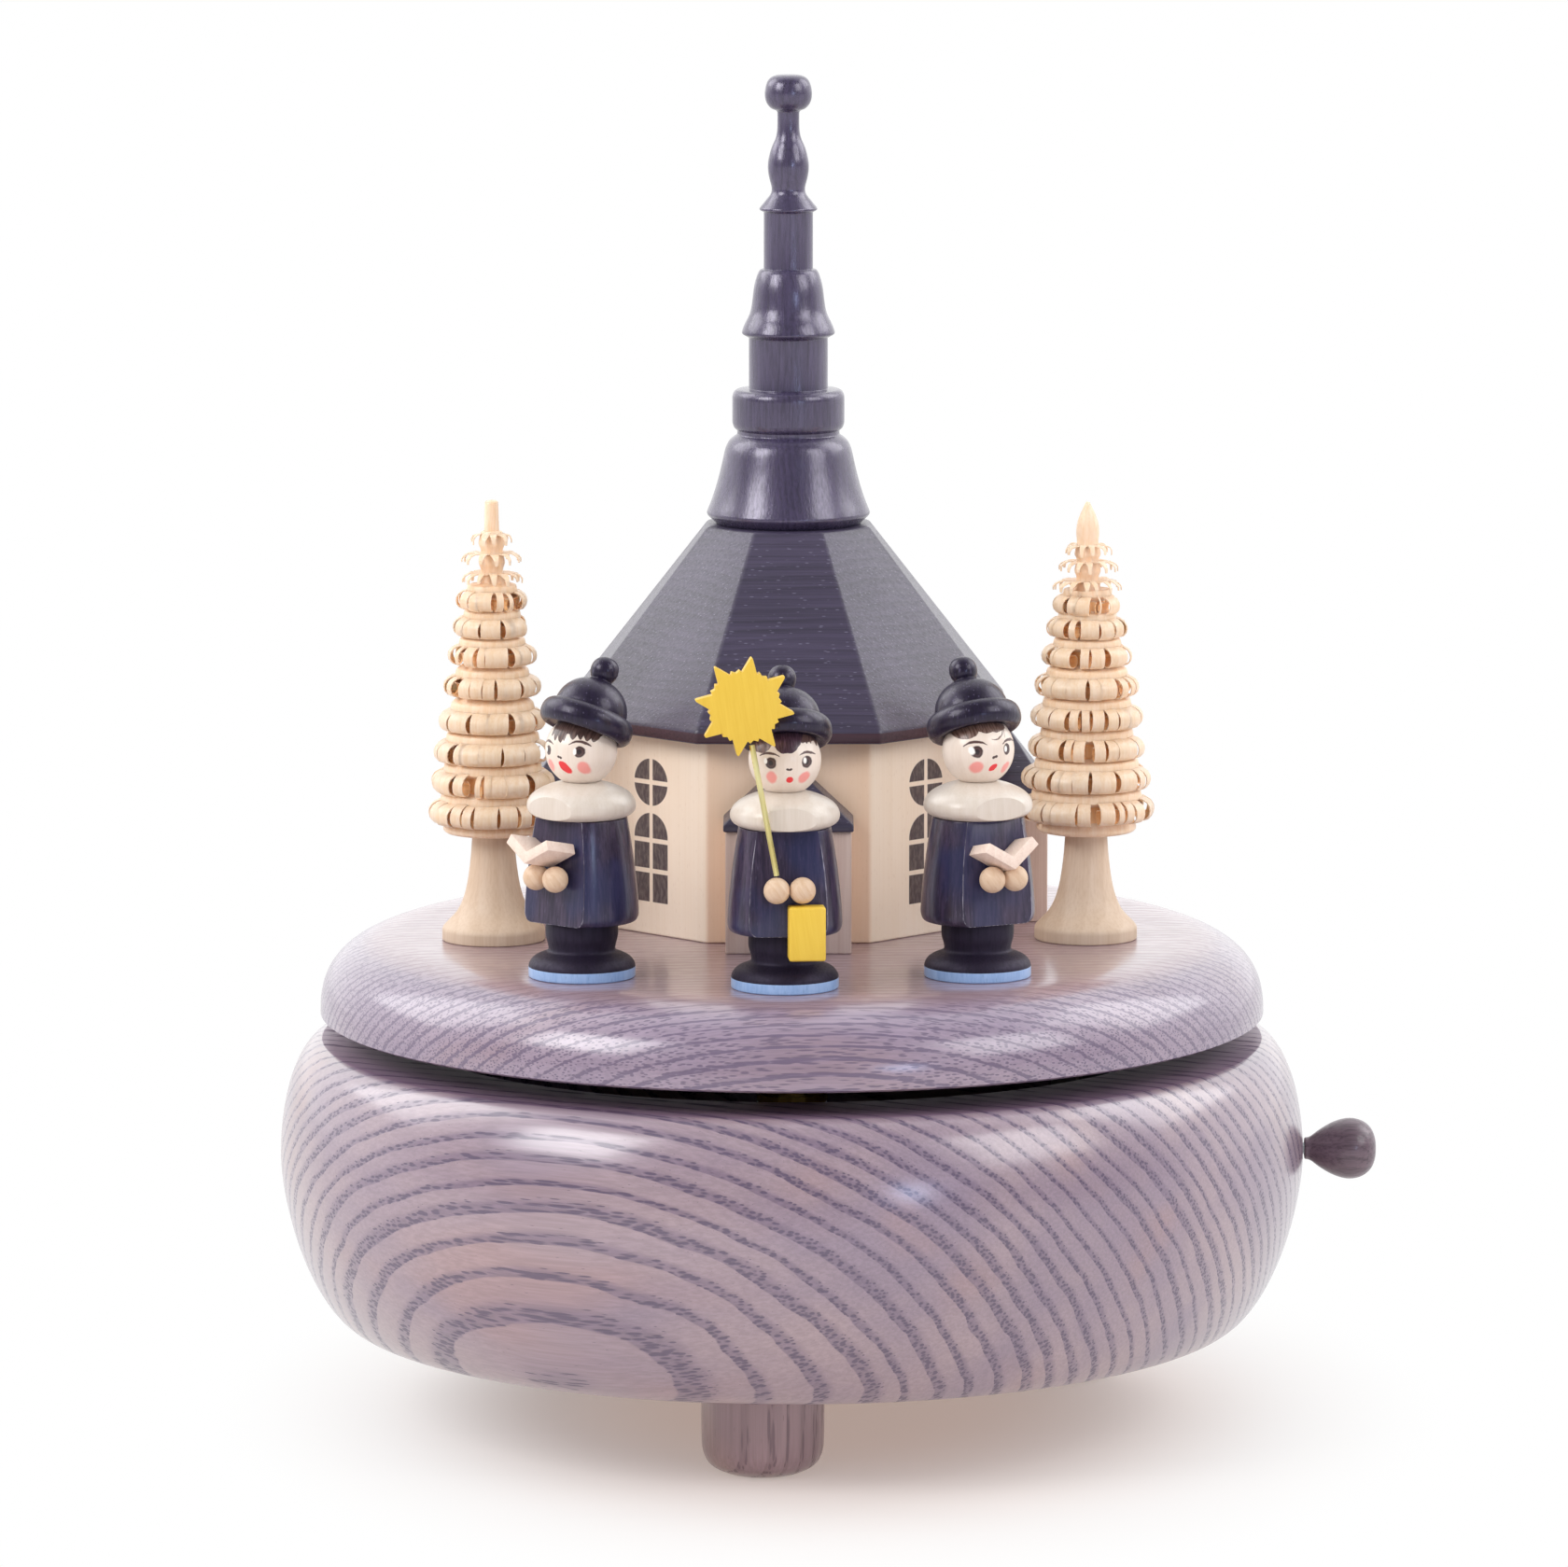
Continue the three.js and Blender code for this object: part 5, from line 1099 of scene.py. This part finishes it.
def makeSingers():
    radius, lift = singer["headRadius"], singer["hatRise"]
    low, high, lowZ, highZ, _ = singer["coatCut"]
    reach = low + (high - low) * (singer["handZ"] - lowZ) / (highZ - lowZ) + singer["handGap"]
    reach += singer["handRadius"]
    for side, look in singers.items():
        base = onPlate(look["place"], look["turn"])

        def addWood(name, mesh, finish):
            piece, node = "singer" + name.title() + "Wood_" + side, "singer_" + side + "_" + name
            addPiece(piece, mesh, finish, node)

        legs = turned(eased(singer["legs"]), 64)
        for face in legs.faces:
            middle = face.calc_center_median() / mm
            low = middle.z < singer["discTop"] and face.normal.z < singer["discUp"]
            face.material_index = 1 if low else 2
        # The eased edges of the coat's front flat take slot 3: partly worn paint, partly a painted edge
        # highlight
        coat = leaningCut(singer["coat"], singer["coatCut"], 3)
        addWood("body", moved(joined(legs, coat), base), ["coat", "disc", "leg", "worn"])
        collar = leaningCut(singer["collar"], singer["collarCut"])
        addWood("collar", moved(collar, base @ at(0, 0, singer["collarZ"])), "cream")
        headPlace = onPlate(look["place"]) @ at(0, 0, singer["headZ"])
        head = ball(radius, 56, 40)
        tilt = turnedAbout("Z", look["turn"]) @ turnedAbout("X", singer["hatTilt"])
        tilt = tilt @ turnedAbout("Y", look["hatRoll"])
        up = tilt.to_3x3() @ Vector((0, 0, 1))
        sliced(head, up * (lift - singer["hatSink"]), up)
        sliced(head, (0, 0, -singer["neck"] * radius), (0, 0, -1))
        planFace(moved(head, headPlace), headPlace, faceLooks[side]["yaw"])
        addWood("head", head, side + "Face")
        hat = lathed(singer["hat"], headPlace @ tilt @ at(0, -look["hatForward"], lift))
        addWood("hat", hat, "hat")
        beads = [moved(ball(singer["handRadius"], 32, 24), at(
            hand * singer["handSpacing"] / 2, -reach, singer["handZ"])) for hand in (-1, 1)]
        addWood("hands", moved(joined(*beads), base), "bead")
    for side, look in books.items():
        place = onPlate(singers[side]["place"], singers[side]["turn"]) @ at(*look["place"])
        place = place @ turnedAbout("Z", look["turn"]) @ turnedAbout("X", book["lean"])
        mesh = moved(bookMesh(look["angle"]), place @ turnedAbout("Y", look["roll"]))
        addPiece("bookWood_" + side, mesh, "book", "book_" + side)
    addPiece("starWood", starMesh(), "yellow", "star")
    addPiece("lanternWood", softened("lantern", stampedEdge), "yellow", "lantern")
    print("singers made")


# Knob, key and the movement

knob = {"startX": 72.99, "height": 36.9, "corners": [
    [0, 4.8], [1.1, 4.8], [1.1, 0, 0.1], [1.55, 0, 0.3], [1.6, 0.8, 9], [2.6, 2.0, 9], [3.85, 4.1, 9],
    [4.45, 6.3, 9], [4.05, 8.3, 9], [2.9, 9.6, 9], [1.4, 10.15, 9], [0, 10.2]]}
movement = {
    "castMetal": ("bedplate",), "pole": ("star_pole",),
    "steel": ("barrel_bridge", "comb", "mounting_screw_front", "mounting_screw_rear", "mounting_screw_outer",
              "winding_arbor", "mainspring", "worm_fly", "stopper_wire"),
    "brass": ("comb_screw_inner", "comb_screw_outer", "governor_bracket", "spring_barrel", "turntable_hub",
              "pin_cylinder", "cylinder_pinion", "cylinder_gear", "governor_wheel"),
}


def makeMovement():
    place = at(axisX + knob["startX"], 0, knob["height"]) @ turnedAbout("Y", 90)
    addPiece("knobWood", lathed(knob["corners"], place), "knob", "stopper_knob", "stopper")
    key = softened("winding_key", stampedEdge)
    addPiece("windingKeyBrass", key, "brass", "winding_key", "winder")
    for finish, names in movement.items():
        for name in names:
            for entry in nodes[name].material_slots:
                entry.material = finishes[finish]
    print("movement dressed")


# Studio

# The rays that come from the camera, and those that show a reflection or a refraction
def lightRays(tree):
    rays = source(tree, "ShaderNodeLightPath", 0).node.outputs
    return rays["Is Camera Ray"], larger(rays["Is Glossy Ray"], rays["Is Transmission Ray"])


def addFloor():
    mesh = bmesh.new()
    bmesh.ops.create_grid(mesh, x_segments=8, y_segments=8, size=studio["floorSize"])
    data = bpy.data.meshes.new("floor")
    mesh.to_mesh(data)
    mesh.free()
    floor = linked("floor", data)
    material, tree, shader = newFinish("floorPaper", {
        "Base Color": studio["floorColour"], "Roughness": 0.9, "Specular IOR Level": 0.1})
    # Camera rays see a white glow that fades in away from the bowl; under the bowl it is a painted glow that
    # lightens the cast shadow, tinted warm near the middle as painted bounce light from the wooden bowl
    spread = stretched(onObject(tree), studio["footprint"])
    reach = wire("ShaderNodeVectorMath", {0: spread}, "Value", operation="LENGTH")
    away = ramp(reach, *studio["clearReach"], studio["clearUnder"], 1.0)
    seen = times(away, larger(*lightRays(tree)))
    bounce = mixed(ramp(reach, *studio["paintedBounceReach"]), studio["paintedBounceColour"], "#ffffff")
    clear = wire("ShaderNodeEmission", {"Color": bounce, "Strength": 1.0})
    paper = tree.nodes["Principled BSDF"].outputs[0]
    blend = wire("ShaderNodeMixShader", {0: seen, 1: paper, 2: clear})
    feed(tree.nodes["Material Output"].inputs["Surface"], blend)
    data.materials.append(material)


def addWorld():
    world = bpy.data.worlds.new("studio")
    bpy.context.scene.world = world
    world.use_nodes = True
    tree = world.node_tree
    way = split(source(tree, "ShaderNodeTexCoord", "Generated"))[1]
    direct, mirrored = lightRays(tree)
    behind = ramp(way, *studio["horizon"], studio["dark"], studio["behind"])
    level = wire("ShaderNodeMix", {0: mirrored, 2: studio["ambient"], 3: behind})
    level = wire("ShaderNodeMix", {0: direct, 2: level, 3: 1.0})
    sky = tree.nodes["Background"].inputs
    feed(sky["Color"], (1, 1, 1, 1))
    feed(sky["Strength"], level)
    bpy.context.scene.view_settings.view_transform = "Standard"


addCamera()
addLamps()
addFloor()
addWorld()
makeBowl()
makePlate()
makeChurch()
makeTrees()
makeSingers()
makeMovement()
